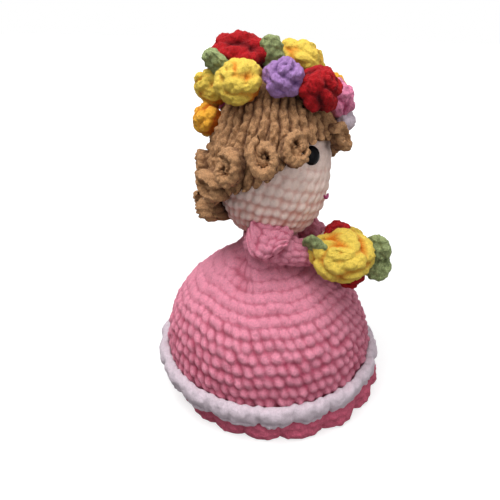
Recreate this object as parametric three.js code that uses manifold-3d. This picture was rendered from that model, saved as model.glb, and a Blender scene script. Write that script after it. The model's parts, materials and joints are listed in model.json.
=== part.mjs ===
// Crocheted doll in a round pink dress, with a flower crown and a bouquet.
//
// Millimetres, +Z up. The doll stands on the plane z = 0 and looks along -Y,
// so its right side is at -X and its left side at +X. The head leans to the left.
// Every soft piece is a closed solid of its own, a clearance away from its neighbours.

import * as THREE from 'three';
import { mergeVertices } from 'three/addons/utils/BufferGeometryUtils.js';
import Module from 'manifold-3d';

const wasm = await Module();
wasm.setup();

// Yarn and clearance
const GAP = 0.3;
const WALL = 5;
const FLATTEN = 0.5;
const OVERRUN = 2;

// Dress: one bell from the hem to the bodice's top edge
const DRESS_RADIUS = 86;
const DRESS_TOP = 138;
const BASE_THICK = 5;
const BASE_INSET = 1.1;
const BODICE_SPREAD = 5;
const BUSTLE_SWELL = 6;

// Petticoat and white hem trim
const PETTICOAT_HEIGHT = 19;
const PETTICOAT_THICK = 7;
const PETTICOAT_WAVE = 2.2;
const PETTICOAT_SWAY = 4.5;
const TRIM_LOW = 18;
const TRIM_HEIGHT = 15;
const TRIM_THICK = 9;
const TRIM_DIP = 1.8;
const HEM_TILT = 2.5;
const HEM_TILT_TURN = 280;
const SCALLOP_DEPTH = 1.4;
const SCALLOPS = 18;

// Chest and neck
const CHEST_BOTTOM = 116;
const CHEST_TOP = 150;
const NECK_Z = 136;
const NECK_RADIUS = 9;
const NECK_LENGTH = 12;

// Head, measured from its middle along its own leaning axis
const HEAD_RADIUS = 43.5;
const HEAD_CHIN_DROP = 54;
const HEAD_TOP_RISE = 63;
const HEAD_ABOVE_NECK = 50;
const HEAD_LEAN = 14;
const TILT_BACK = 12;
const JAW_FULLNESS = 2.5;
const CROWN_FULLNESS = 2;

// Eyes and mouth
const EYE_RADIUS = 7;
const EYE_BULGE = 4;
const EYE_STEM_RADIUS = 1.5;
const EYE_STEM_LENGTH = 10;
const WASHER_RADIUS = 5.5;
const WASHER_THICK = 1.2;
const EYE_TURN = 35;
const EYE_RISE = 11;
const EYE_DOME_SHARE = 0.44;
const MOUTH_WIDTH = 10;
const MOUTH_YARN = 1.8;
const MOUTH_DROP = 17;
const MOUTH_SAG = 2.5;

// Wig and its rolled curls
const WIG_THICK = 8;
const WIG_GROOVE = 1.6;
const WIG_RIBS = 30;
const HAIR_UNDERCUT = 2;
const CURL_WIDTH = 22;
const CURL_HEIGHT = 29;
const CURL_DEPTH = 11;
const CURL_YARN = 3.5;
const CURL_TURNS = 1.5;

// Crocheted roses and leaves
const ROSE_RADIUS = 16;
const ROSE_HEIGHT = 24;
const ROSE_PETAL = 3.9;
const ROSE_TURNS = 2.25;
const ROSE_PETALS_PER_TURN = 5;
const LEAF_LENGTH = 26;
const LEAF_WIDTH = 18;
const LEAF_THICK = 7;

// Arms
const SHOULDER_X = 26;
const SHOULDER_Z = 136;
const ARM_REACH = 38;
const ARM_DROP = 8;
const ARM_RADIUS = 11.5;
const WRIST_X = 15;
const HAND_RADIUS = 8.5;
const FRILL_THICK = 4;
const FRILL_BACK = 5;
const FRILL_REACH = 24;
const FRILL_FLARE = 5;
const FRILL_WAVE = 1.6;
const FRILL_FROM = -40;
const FRILL_TO = 105;
const ARM_RAISE = 14;

// Bouquet, around its own middle
const BOUQUET_Y = -63;
const BOUQUET_Z = 122;
const BOUQUET_PAD_WIDE = 14;
const BOUQUET_PAD_DEEP = 19;
const BOUQUET_PAD_TALL = 14;

// Colours
const pink = 0xe08ba6;
const pinkDeep = 0xc96f8c;
const white = 0xf1eee9;
const skin = 0xf0d6c6;
const hair = 0xa67c58;
const filling = 0xf6f4f0;
const red = 0xa01822;
const yellow = 0xe8c64b;
const orange = 0xf0a838;
const purple = 0x9a78b8;
const green = 0x8fa374;
const black = 0x141214;
const rosePink = 0xd0447c;

const doll = new THREE.Group();
const degrees = THREE.MathUtils.degToRad;

function addPiece(name, geometry, colour, roughness = 0.95) {
  const material = new THREE.MeshStandardMaterial({ color: colour, roughness, metalness: 0 });
  const piece = new THREE.Mesh(geometry, material);
  piece.name = name;
  doll.add(piece);
  return piece;
}

// Skins rings of equal length, in order, and closes both ends with a fan.
// A ring runs counter-clockwise when seen from the last ring.
function loft(rings) {
  const points = rings.flat();
  const sides = rings[0].length;
  const faces = [];
  for (let i = 0; i + 1 < rings.length; i += 1) {
    for (let j = 0; j < sides; j += 1) {
      const a = i * sides + j;
      const b = i * sides + (j + 1) % sides;
      faces.push(a, b, b + sides, a, b + sides, a + sides);
    }
  }
  const start = middleOf(rings[0]);
  const end = middleOf(rings[rings.length - 1]);
  const first = points.push(start) - 1;
  const last = points.push(end) - 1;
  const lastRing = (rings.length - 1) * sides;
  for (let j = 0; j < sides; j += 1) {
    const next = (j + 1) % sides;
    faces.push(first, next, j, last, lastRing + j, lastRing + next);
  }
  return meshOf(points, faces);
}

// Skins rings that go round the Z axis, the last one joined to the first. A ring
// runs down its inner side and up its outer side.
function loftLoop(rings) {
  const points = rings.flat();
  const sides = rings[0].length;
  const faces = [];
  for (let i = 0; i < rings.length; i += 1) {
    const here = i * sides;
    const there = ((i + 1) % rings.length) * sides;
    for (let j = 0; j < sides; j += 1) {
      const next = (j + 1) % sides;
      faces.push(here + j, there + next, here + next, here + j, there + j, there + next);
    }
  }
  return meshOf(points, faces);
}

function middleOf(ring) {
  const middle = new THREE.Vector3();
  ring.forEach((point) => middle.add(point));
  return middle.divideScalar(ring.length);
}

function meshOf(points, faces) {
  const geometry = new THREE.BufferGeometry();
  geometry.setAttribute('position', new THREE.Float32BufferAttribute(points.flatMap((p) => p.toArray()), 3));
  geometry.setIndex(faces);
  return mergeVertices(geometry);
}

// Solids for cutting and joining
function solidOf(geometry) {
  const merged = mergeVertices(geometry);
  return new wasm.Manifold(new wasm.Mesh({
    numProp: 3,
    vertProperties: new Float32Array(merged.attributes.position.array),
    triVerts: new Uint32Array(merged.index.array),
  }));
}

function geometryOf(solid) {
  const mesh = solid.getMesh();
  const geometry = new THREE.BufferGeometry();
  geometry.setAttribute('position', new THREE.Float32BufferAttribute(mesh.vertProperties, 3));
  geometry.setIndex(Array.from(mesh.triVerts));
  return geometry;
}

// Takes the cutters out of a form and keeps its largest piece.
function cut(geometry, cutters) {
  const left = cutters.reduce((solid, cutter) => solid.subtract(solidOf(cutter)), solidOf(geometry));
  const pieces = left.decompose().sort((a, b) => b.volume() - a.volume());
  return geometryOf(pieces[0]);
}

// A closed round form: ringAt(share, turn) gives the surface point for a share of
// its height and a turn about its axis.
function roundForm(shares, sides, ringAt) {
  return loft(shares.map((share) => Array.from({ length: sides }, (_, j) => ringAt(share, (j / sides) * 2 * Math.PI))));
}

const steps = (count) => Array.from({ length: count + 1 }, (_, i) => i / count);
const mix = THREE.MathUtils.lerp;

// Reads a smooth value from a table of [share, value share] pairs.
function follow(table, share) {
  const at = THREE.MathUtils.clamp(share, table[0][0], table[table.length - 1][0]);
  const after = Math.max(1, table.findIndex(([position]) => position >= at));
  const [low, lowValue] = table[after - 1];
  const [high, highValue] = table[after];
  const before = table[Math.max(0, after - 2)];
  const beyond = table[Math.min(table.length - 1, after + 1)];
  const part = (at - low) / (high - low);
  const slopeLow = ((highValue - before[1]) / (high - before[0])) * (high - low);
  const slopeHigh = ((beyond[1] - lowValue) / (beyond[0] - low)) * (high - low);
  const square = part * part;
  const cube = square * part;
  return lowValue * (2 * cube - 3 * square + 1) + slopeLow * (cube - 2 * square + part)
    + highValue * (3 * square - 2 * cube) + slopeHigh * (cube - square);
}

// The dress
const bellShares = [
  [0, 0.92], [0.1, 0.965], [0.24, 1], [0.4, 0.95], [0.56, 0.825], [0.67, 0.675],
  [0.77, 0.5], [0.85, 0.35], [0.91, 0.28], [0.965, 0.25], [1, 0.245],
];
const bustleShares = [[0, 0], [0.35, 0.5], [0.6, 0.95], [0.72, 0.85], [0.82, 0.35], [0.92, 0], [1, 0]];
const spreadShares = [[0, 0], [0.8, 0], [0.92, 0.7], [1, 1]];
const DRESS_BOTTOM = BASE_THICK + GAP;

// A point of the dress, a step inside or outside its surface.
function dressPoint(share, turn, step) {
  const back = Math.max(0, Math.sin(turn));
  const radius = DRESS_RADIUS * follow(bellShares, share) + BUSTLE_SWELL * follow(bustleShares, share) * back * back + step;
  const spread = BODICE_SPREAD * follow(spreadShares, share);
  const z = mix(DRESS_BOTTOM, DRESS_TOP, share);
  return new THREE.Vector3((radius + spread) * Math.cos(turn), radius * Math.sin(turn), z);
}

function dressRadiusAt(z, turn) {
  const point = dressPoint((z - DRESS_BOTTOM) / (DRESS_TOP - DRESS_BOTTOM), turn, 0);
  return Math.hypot(point.x, point.y);
}

const dressShares = [0, 0.1, 0.24, 0.38, 0.51, 0.62, 0.72, 0.8, 0.86, 0.92, 1];
const dressSides = 32;
const hollowShares = [0, 0.24, 0.51, 0.72, 0.86, 0.93, 1];
const hollowSides = 24;

function dressForm(step) {
  return roundForm(dressShares, dressSides, (share, turn) => dressPoint(share, turn, step));
}

// The space inside the dress runs past both of its ends.
function dressHollow() {
  const rings = hollowShares.map((share) => Array.from({ length: hollowSides }, (_, j) => (
    dressPoint(share, (j / hollowSides) * 2 * Math.PI, -WALL))));
  rings.unshift(rings[0].map((point) => point.clone().setZ(-OVERRUN)));
  rings.push(rings[rings.length - 1].map((point) => point.clone().setZ(DRESS_TOP + OVERRUN)));
  return loft(rings);
}

// The base disc, with a soft rounded edge above its flat underside
const edgeShares = [[0, 0.97], [0.25, 1], [0.75, 1], [1, 0.97]];
const baseRadius = dressRadiusAt(DRESS_BOTTOM, 0) - BASE_INSET;

function baseDisc() {
  return roundForm([0, 0.25, 0.75, 1], 32, (share, turn) => {
    const radius = baseRadius * follow(edgeShares, share);
    return new THREE.Vector3(radius * Math.cos(turn), radius * Math.sin(turn), BASE_THICK * share);
  });
}

// The hem hangs lower and reaches further on one side than on the other.
function hemTilt(turn) {
  return Math.cos(turn - degrees(HEM_TILT_TURN));
}

function hemRise(turn) {
  return -TRIM_DIP * Math.cos(2 * turn) - HEM_TILT * hemTilt(turn);
}

// Petticoat: a waved ring that hugs the dress and stands on the floor
const hemSteps = SCALLOPS * 3;

function petticoatRing() {
  const rings = Array.from({ length: hemSteps }, (_, i) => {
    const turn = (i / hemSteps) * 2 * Math.PI;
    const thick = PETTICOAT_THICK + PETTICOAT_SWAY * hemTilt(turn);
    const wave = PETTICOAT_WAVE * Math.sin(SCALLOPS * turn) * (thick / (PETTICOAT_THICK + PETTICOAT_SWAY));
    const at = (step, z) => new THREE.Vector3(Math.cos(turn), Math.sin(turn), 0)
      .multiplyScalar(dressRadiusAt(z, turn) + step).setZ(z);
    const top = PETTICOAT_HEIGHT + hemRise(turn) - GAP;
    const middle = top / 2;
    return [
      at(GAP, top), at(GAP, middle), at(GAP, 0),
      at(thick + wave, 0), at(thick + wave / 2, middle), at(Math.min(thick, PETTICOAT_THICK) / 2, top),
    ];
  });
  return loftLoop(rings);
}

// White trim: a thick scalloped cord of crochet round the hem
function trimRing() {
  const rings = Array.from({ length: hemSteps }, (_, i) => {
    const turn = (i / hemSteps) * 2 * Math.PI;
    const wave = Math.cos(SCALLOPS * turn);
    const low = TRIM_LOW + 2 * GAP + hemRise(turn);
    const at = (out, up) => {
      const z = low + TRIM_HEIGHT * up;
      const radius = dressRadiusAt(z, turn) + GAP + TRIM_THICK * out + SCALLOP_DEPTH * wave * out;
      return new THREE.Vector3(radius * Math.cos(turn), radius * Math.sin(turn), z);
    };
    const outlineShares = [[0, 0.9], [0, 0.1], [0.5, 0], [0.95, 0.3], [0.95, 0.7], [0.45, 1]];
    return outlineShares.map(([out, up]) => at(out, up));
  });
  return loftLoop(rings);
}

// Tips a piece of the head sideways about the neck.
function tilt(angle) {
  return new THREE.Matrix4().makeTranslation(0, 0, NECK_Z)
    .multiply(new THREE.Matrix4().makeRotationY(degrees(angle)))
    .multiply(new THREE.Matrix4().makeTranslation(0, 0, -NECK_Z));
}

const lean = tilt(HEAD_LEAN).multiply(new THREE.Matrix4().makeTranslation(0, 0, NECK_Z + HEAD_ABOVE_NECK));

const headSides = 28;
const headSteps = 12;

// A point of the head in its own frame: turn is 0 at the face and grows towards
// the doll's right, rise is the angle above its middle.
function headPoint(turn, rise, step) {
  const power = 2 / (rise < 0 ? JAW_FULLNESS : CROWN_FULLNESS);
  const flat = (HEAD_RADIUS + step) * Math.max(0, Math.cos(rise)) ** power;
  const reach = rise < 0 ? HEAD_CHIN_DROP : HEAD_TOP_RISE;
  const height = (reach + step) * Math.sign(rise) * Math.abs(Math.sin(rise)) ** power;
  return new THREE.Vector3(-flat * Math.sin(turn), -flat * Math.cos(turn), height);
}

function headEgg(step) {
  const rises = steps(headSteps).slice(1, -1).map((share) => mix(-Math.PI / 2, Math.PI / 2, share));
  const rings = rises.map((rise) => Array.from({ length: headSides }, (_, j) => (
    headPoint((-j / headSides) * 2 * Math.PI, rise, step))));
  return loft(rings).applyMatrix4(lean);
}

// Where the head sweeps as it tilts, with its clearance
const tiltSteps = steps(2).map((share) => -TILT_BACK * share);
const headSweep = tiltSteps.map((angle) => headEgg(GAP).applyMatrix4(tilt(angle)));

// Neck: a short plug with a ball below, in the leaning frame
function neckPlug(step) {
  const profile = [];
  for (const share of steps(4)) {
    const angle = mix(-Math.PI / 2, 0, share);
    profile.push([(NECK_RADIUS + step) * Math.cos(angle), (NECK_RADIUS + step) * Math.sin(angle)]);
  }
  profile.shift();
  profile.push([NECK_RADIUS + step, NECK_LENGTH + step - FLATTEN], [NECK_RADIUS + step - FLATTEN, NECK_LENGTH + step]);
  const sides = 20;
  const rings = profile.map(([radius, z]) => Array.from({ length: sides }, (_, j) => {
    const turn = (j / sides) * 2 * Math.PI;
    return new THREE.Vector3(radius * Math.cos(turn), radius * Math.sin(turn), z - HEAD_ABOVE_NECK);
  }));
  return loft(rings).applyMatrix4(lean);
}

// The hollow that the neck's ball turns in
function neckCup() {
  const ball = new THREE.SphereGeometry(NECK_RADIUS + GAP, 20, 8);
  ball.deleteAttribute('normal');
  ball.deleteAttribute('uv');
  return ball.translate(0, 0, NECK_Z);
}

// Chest: the skin-coloured top of the body inside the bodice's neckline
function chestForm(step) {
  const chestShares = [[0, 0.82], [0.2, 1], [0.7, 1], [1, 0.8]];
  return roundForm(steps(5), hollowSides, (share, turn) => {
    const z = mix(CHEST_BOTTOM, CHEST_TOP, share);
    const inside = dressPoint((Math.min(z, DRESS_TOP) - DRESS_BOTTOM) / (DRESS_TOP - DRESS_BOTTOM), turn, -WALL - GAP);
    const narrowest = dressPoint(1, turn, -WALL - GAP);
    const slim = Math.min(1, Math.hypot(narrowest.x, narrowest.y) / Math.hypot(inside.x, inside.y));
    const size = slim * follow(chestShares, share);
    return inside.multiplyScalar(size).add(new THREE.Vector3(Math.cos(turn), Math.sin(turn), 0).multiplyScalar(step)).setZ(z);
  });
}

function bodyStuffing() {
  const topShare = (CHEST_BOTTOM - GAP - DRESS_BOTTOM) / (DRESS_TOP - DRESS_BOTTOM);
  const shares = [...hollowShares.filter((share) => share < topShare), topShare];
  return roundForm(shares, hollowSides, (share, turn) => dressPoint(share, turn, -WALL - 2 * GAP));
}

// Head skin, with its neck hole, and the stuffing inside it
function neckHole() {
  const hole = new THREE.CylinderGeometry(NECK_RADIUS + GAP, NECK_RADIUS + GAP, 2 * NECK_LENGTH, 24);
  hole.rotateX(Math.PI / 2).translate(0, 0, -HEAD_ABOVE_NECK);
  hole.deleteAttribute('normal');
  hole.deleteAttribute('uv');
  return hole.applyMatrix4(lean);
}

// A frame on the head: +Z leaves the surface and +Y points up along it.
function onHead(turnDegrees, riseDegrees, step) {
  const turn = degrees(turnDegrees);
  const rise = degrees(riseDegrees);
  const place = headPoint(turn, rise, step);
  const small = 0.01;
  const round = headPoint(turn + small, rise, step).sub(headPoint(turn - small, rise, step));
  const upward = headPoint(turn, rise + small, step).sub(headPoint(turn, rise - small, step));
  const out = upward.cross(round).normalize();
  const side = new THREE.Vector3(0, 0, 1).cross(out).normalize();
  const up = out.clone().cross(side);
  return lean.clone().multiply(new THREE.Matrix4().makeBasis(side, up, out).setPosition(place));
}

// Turns a profile of [radius, z] points, from the bottom to the top, into a solid.
function turned(profile, sides) {
  return loft(profile.map(([radius, z]) => Array.from({ length: sides }, (_, j) => {
    const turn = (j / sides) * 2 * Math.PI;
    return new THREE.Vector3(radius * Math.cos(turn), radius * Math.sin(turn), z);
  })));
}

// Safety eye: a domed button with a stem through the skin, held by a washer
function eyeForm(step) {
  const profile = [[EYE_STEM_RADIUS + step, -EYE_STEM_LENGTH - step], [EYE_STEM_RADIUS + step, -step]];
  for (const share of steps(3)) {
    const angle = share * EYE_DOME_SHARE * Math.PI;
    profile.push([(EYE_RADIUS + step) * Math.cos(angle), (EYE_BULGE + step) * Math.sin(angle) + (share === 0 ? -step : 0)]);
  }
  return turned(profile, 20);
}

const WASHER_SEAT = WALL + 3 * GAP + WASHER_RADIUS ** 2 / (2 * (HEAD_RADIUS - WALL));

function washerForm() {
  const bore = EYE_STEM_RADIUS + GAP;
  const outline = [
    [bore, -WASHER_THICK], [WASHER_RADIUS, -WASHER_THICK], [WASHER_RADIUS, 0], [bore, 0],
  ];
  const sides = 12;
  const rings = Array.from({ length: sides }, (_, i) => {
    const turn = (i / sides) * 2 * Math.PI;
    return outline.map(([radius, z]) => new THREE.Vector3(radius * Math.cos(turn), radius * Math.sin(turn), z));
  });
  return loftLoop(rings).translate(0, 0, -WASHER_SEAT);
}

// The pocket in the skin and stuffing that the eye's stem and washer need
function eyePocket() {
  return turned([
    [WASHER_RADIUS + GAP, -EYE_STEM_LENGTH - 2 * GAP], [WASHER_RADIUS + GAP, -WALL + GAP],
  ], 16);
}

const eyePlaces = [EYE_TURN, -EYE_TURN].map((turn) => onHead(turn, EYE_RISE, GAP));

// Mouth: one curved stitch of yarn that lies on the face
function mouthStitch() {
  const half = MOUTH_WIDTH / 2;
  const rings = steps(6).map((share) => {
    const across = mix(-half, half, share);
    const turn = Math.asin(across / HEAD_RADIUS);
    const bend = MOUTH_SAG * (across / half) ** 2;
    const rise = -degrees(MOUTH_DROP) + bend / HEAD_CHIN_DROP;
    return Array.from({ length: 6 }, (_, j) => {
      const angle = (j / 6) * 2 * Math.PI;
      const out = GAP + MOUTH_YARN / 2 + (MOUTH_YARN / 2) * Math.cos(angle);
      return headPoint(turn, rise + ((MOUTH_YARN / 2) * Math.sin(angle)) / HEAD_CHIN_DROP, out);
    });
  });
  return loft(rings).applyMatrix4(lean);
}

// Wig: a ribbed cap whose lower edge is high at the brow and low at the nape
const hairlineShares = [[0, 22], [0.2, 21], [0.32, 10], [0.45, -3], [0.6, -11], [0.8, -24], [1, -29]];

function wigCap() {
  const columns = WIG_RIBS * 2;
  const rows = 10;
  const grid = (step, groove, edge) => Array.from({ length: columns }, (_, j) => {
    const turn = (j / columns) * 2 * Math.PI;
    const around = Math.abs(turn > Math.PI ? turn - 2 * Math.PI : turn) / Math.PI;
    const low = degrees(follow(hairlineShares, around) + edge);
    return steps(rows).slice(0, -1).map((share) => {
      const rise = mix(low, Math.PI / 2, share);
      const dent = j % 2 === 0 ? 0 : groove * Math.cos(rise);
      return headPoint(turn, rise, step - dent);
    });
  });
  const outside = grid(GAP + WIG_THICK, WIG_GROOVE, 0);
  const inside = grid(-OVERRUN, 0, HAIR_UNDERCUT);
  const points = [...outside.flat(), ...inside.flat()];
  const inner = columns * rows;
  const outerTop = points.push(headPoint(0, Math.PI / 2, GAP + WIG_THICK)) - 1;
  const innerTop = points.push(headPoint(0, Math.PI / 2, -OVERRUN)) - 1;
  const faces = [];
  for (let j = 0; j < columns; j += 1) {
    const here = j * rows;
    const next = ((j + 1) % columns) * rows;
    for (let k = 0; k + 1 < rows; k += 1) {
      faces.push(here + k, here + k + 1, next + k + 1, here + k, next + k + 1, next + k);
      faces.push(inner + here + k, inner + next + k + 1, inner + here + k + 1);
      faces.push(inner + here + k, inner + next + k, inner + next + k + 1);
    }
    faces.push(here + rows - 1, outerTop, next + rows - 1);
    faces.push(inner + here + rows - 1, inner + next + rows - 1, innerTop);
    faces.push(here, next, inner + next, here, inner + next, inner + here);
  }
  return meshOf(points, faces).applyMatrix4(lean);
}

// A strip rolled up on itself, in its own frame with its back at z = 0. Both
// curls and roses are rolled this way. sectionAt gives the four corners of the
// strip for a share of its length, as [radius, height] pairs: up the inner wall
// and down the outer one. The steps line up from turn to turn, so that the walls
// of neighbouring turns stay parallel.
const rollSteps = 8;
const rollGaps = [];

function rolledStrip(turns, sectionAt, squeeze) {
  const rings = steps(Math.round(turns * rollSteps)).map((share) => {
    const angle = share * turns * 2 * Math.PI;
    return sectionAt(share).map(([radius, z]) => (
      new THREE.Vector3(radius * Math.cos(angle) * squeeze[0], radius * Math.sin(angle) * squeeze[1], z)));
  });
  rollGaps.push(...rings.slice(rollSteps).map((ring, i) => ring[0].distanceTo(rings[i][3])));
  return loft(rings);
}

const curlHoleShare = 0.12;
const curlRimShare = 0.75;

function curlForm(size, direction) {
  const outer = (CURL_WIDTH / 2) * size;
  const yarn = CURL_YARN * size;
  const inner = outer * curlHoleShare + yarn;
  const form = rolledStrip(CURL_TURNS, (share) => {
    const radius = mix(inner, outer, share);
    const depth = CURL_DEPTH * size * mix(1, curlRimShare, share);
    return [[radius - yarn, 0], [radius - yarn, depth], [radius, depth], [radius, 0]];
  }, [1, CURL_HEIGHT / CURL_WIDTH]);
  return direction < 0 ? mirrored(form) : form;
}

function mirrored(geometry) {
  const copy = geometry.clone().scale(-1, 1, 1);
  const index = Array.from(copy.index.array);
  for (let i = 0; i < index.length; i += 3) {
    [index[i], index[i + 1]] = [index[i + 1], index[i]];
  }
  copy.setIndex(index);
  return copy;
}

// Rose: a strip rolled from its heart outwards, narrow at the base, its outer
// edge flared and waved into petals
const roseBaseShare = 0.68;
const roseHeartShare = 1.15;
const roseRimShare = 0.78;
const roseWaveShare = 0.06;

function roseForm(size, tall) {
  const outer = ROSE_RADIUS * size;
  const height = ROSE_HEIGHT * size * tall;
  const petal = ROSE_PETAL * size;
  return rolledStrip(ROSE_TURNS, (share) => {
    const radius = mix(petal * roseHeartShare, outer, share);
    const wave = 1 + roseWaveShare * Math.sin(share * ROSE_TURNS * ROSE_PETALS_PER_TURN * 2 * Math.PI);
    const top = height * mix(1, roseRimShare, share) * wave;
    return [[(radius - petal) * roseBaseShare, 0], [radius - petal, top], [radius, top], [radius * roseBaseShare, 0]];
  }, [1, 1]);
}

// The room that a rose takes up, with a clearance round it
function roseRoom(size, tall) {
  const outer = ROSE_RADIUS * size;
  return turned([[outer * roseBaseShare + GAP, -GAP], [outer + GAP, ROSE_HEIGHT * size * tall + GAP]], 20);
}

// Leaf: a thick pointed oval that stands on its stalk end
const leafWidthShares = [[0, 0.3], [0.25, 0.85], [0.5, 1], [0.75, 0.75], [1, 0.25]];
const leafEdgeShare = 0.7;

function leafForm(size, twist) {
  const rings = steps(5).map((share) => {
    const width = follow(leafWidthShares, share);
    const half = (LEAF_WIDTH / 2) * size * width;
    const thick = (LEAF_THICK / 2) * size * mix(leafEdgeShare, 1, width);
    return Array.from({ length: 6 }, (_, j) => {
      const turn = (j / 6) * 2 * Math.PI;
      return new THREE.Vector3(half * Math.cos(turn), thick * Math.sin(turn), LEAF_LENGTH * size * share);
    });
  });
  return loft(rings).rotateZ(degrees(twist));
}

// Arms: a stuffed sleeve that runs forward from the shoulder and narrows to the wrist
const armInwardShares = [[0, 0], [0.35, -0.1], [0.7, 0.35], [1, 1]];
const armDropShares = [[0, 0], [0.35, 0.1], [0.7, 0.55], [1, 1]];

function armPoint(side, share) {
  const x = mix(SHOULDER_X, WRIST_X, follow(armInwardShares, share));
  return new THREE.Vector3(side * x, -ARM_REACH * share, SHOULDER_Z - ARM_DROP * follow(armDropShares, share));
}

// Rings round the arm's path; reach and angles choose the part that is skinned.
function armFrame(side, share) {
  const small = 0.01;
  const ahead = armPoint(side, share + small).sub(armPoint(side, share - small)).normalize();
  const across = new THREE.Vector3(0, 0, 1).cross(ahead).normalize();
  const up = ahead.clone().cross(across);
  return { middle: armPoint(side, share), ahead, across, up };
}

const sleeveShares = [[-0.3, 0.35], [-0.22, 0.72], [-0.1, 0.93], [0.1, 1], [0.5, 1], [0.85, 0.9], [1, 0.82], [1.04, 0.5]];

function sleeveForm(side, step) {
  const rings = sleeveShares.map(([share, size]) => {
    const { middle, ahead, across, up } = armFrame(side, THREE.MathUtils.clamp(share, 0, 1));
    const beyond = (share < 0 ? share : Math.max(0, share - 1)) * ARM_REACH;
    const radius = ARM_RADIUS * size + step;
    return Array.from({ length: 12 }, (_, j) => {
      const turn = (j / 12) * 2 * Math.PI;
      return middle.clone().addScaledVector(ahead, beyond)
        .addScaledVector(across, radius * Math.cos(turn)).addScaledVector(up, radius * Math.sin(turn));
    });
  });
  return loft(rings);
}

// A sleeve with every place that the leaning, tilting head and the dress reach
// into as the arm is raised taken out of it
const raiseSteps = steps(2).map((share) => -ARM_RAISE * share);

function lowered(geometry, angle) {
  return geometry.clone().applyMatrix4(new THREE.Matrix4().makeTranslation(0, 0, SHOULDER_Z)
    .multiply(new THREE.Matrix4().makeRotationX(degrees(-angle)))
    .multiply(new THREE.Matrix4().makeTranslation(0, 0, -SHOULDER_Z)));
}

const bodySweep = raiseSteps.flatMap((angle) => [
  ...[headSweep[0], headSweep[headSweep.length - 1]],
  dressForm(GAP),
  chestForm(GAP),
].map((form) => lowered(form, angle)));

// Frill: a waved flap of crochet over the top of the sleeve, from the shoulder forward
const flareShares = [[0, 1], [0.25, 0.6], [0.5, 0.15], [0.7, 0], [1, 0]];
const frillDropShares = [[0, 0.45], [0.25, 1], [0.6, 1], [1, 0.5]];
const frillArcSteps = 7;

function frillForm(side) {
  const { middle, ahead, across, up } = armFrame(side, 0);
  const rings = steps(5).map((share) => {
    const centre = middle.clone().addScaledVector(ahead, mix(-FRILL_BACK, FRILL_REACH, share));
    const drop = follow(frillDropShares, share);
    const flare = Math.max(0, follow(flareShares, share));
    const arc = steps(frillArcSteps).map((part) => {
      const wave = FRILL_WAVE * (1 - Math.cos(part * 3 * 2 * Math.PI)) / 2;
      return {
        turn: side * degrees(mix(FRILL_FROM, FRILL_TO, part) * drop),
        inner: ARM_RADIUS + GAP + (FRILL_FLARE + wave) * flare,
      };
    });
    const outward = side > 0 ? arc : arc.reverse();
    const at = (radius, turn) => centre.clone()
      .addScaledVector(across, radius * Math.sin(turn)).addScaledVector(up, radius * Math.cos(turn));
    return [
      ...outward.map(({ turn, inner }) => at(inner, turn)),
      ...outward.map(({ turn, inner }) => at(inner + FRILL_THICK, turn)).reverse(),
    ];
  });
  return loft(rings);
}

// Hand: a small ball that fills the end of the sleeve
const handReachShare = 0.7;

function handForm(side) {
  const ball = new THREE.SphereGeometry(HAND_RADIUS, 12, 8);
  ball.deleteAttribute('normal');
  ball.deleteAttribute('uv');
  const wrist = armFrame(side, 1);
  const centre = wrist.middle.clone().addScaledVector(wrist.ahead, HAND_RADIUS * handReachShare);
  return ball.translate(centre.x, centre.y, centre.z);
}

// Bouquet: roses and leaves that stand out from a green pad
const bouquetMiddle = new THREE.Vector3(0, BOUQUET_Y, BOUQUET_Z);

function padPoint(turn, rise, step) {
  return new THREE.Vector3(
    -(BOUQUET_PAD_WIDE + step) * Math.sin(turn) * Math.cos(rise),
    -(BOUQUET_PAD_DEEP + step) * Math.cos(turn) * Math.cos(rise),
    (BOUQUET_PAD_TALL + step) * Math.sin(rise),
  ).add(bouquetMiddle);
}

function padForm(step) {
  const rises = steps(8).slice(1, -1).map((share) => mix(-Math.PI / 2, Math.PI / 2, share));
  return loft(rises.map((rise) => Array.from({ length: 16 }, (_, j) => padPoint((-j / 16) * 2 * Math.PI, rise, step))));
}

// A frame on the pad: +Z leaves it and +Y points up along it.
function onPad(turnDegrees, riseDegrees, step) {
  const turn = degrees(turnDegrees);
  const rise = degrees(riseDegrees);
  const out = padPoint(turn, rise, BOUQUET_PAD_TALL).sub(padPoint(turn, rise, 0)).normalize();
  const side = new THREE.Vector3(0, 0, 1).cross(out).normalize();
  const up = out.clone().cross(side);
  return new THREE.Matrix4().makeBasis(side, up, out).setPosition(padPoint(turn, rise, step));
}

addPiece('base_disc', baseDisc(), pinkDeep);
addPiece('petticoat', petticoatRing(), pinkDeep);
addPiece('skirt_trim', trimRing(), white);
addPiece('dress', cut(dressForm(0), [dressHollow(), ...headSweep]), pink);
addPiece('body_stuffing', bodyStuffing(), filling);
addPiece('chest', cut(chestForm(0), [...headSweep, neckCup()]), skin);
addPiece('neck', neckPlug(0), skin);

addPiece('head_skin', cut(headEgg(0), [headEgg(-WALL), neckHole(), ...eyePlaces.map((place) => (
  turned([[EYE_STEM_RADIUS + GAP, -WALL - OVERRUN], [EYE_STEM_RADIUS + GAP, OVERRUN]], 20).applyMatrix4(place)))]), skin);
addPiece('head_stuffing', cut(headEgg(-WALL - GAP), [neckPlug(GAP), ...eyePlaces.map((place) => eyePocket().applyMatrix4(place))]), filling);
['right_eye', 'left_eye'].forEach((name, i) => addPiece(name, eyeForm(0).applyMatrix4(eyePlaces[i]), black, 0.15));
['right_eye_washer', 'left_eye_washer'].forEach((name, i) => addPiece(name, washerForm().applyMatrix4(eyePlaces[i]), white, 0.5));
addPiece('mouth_stitch', mouthStitch(), rosePink);
addPiece('wig_cap', cut(wigCap(), [headEgg(GAP)]), hair);

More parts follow.
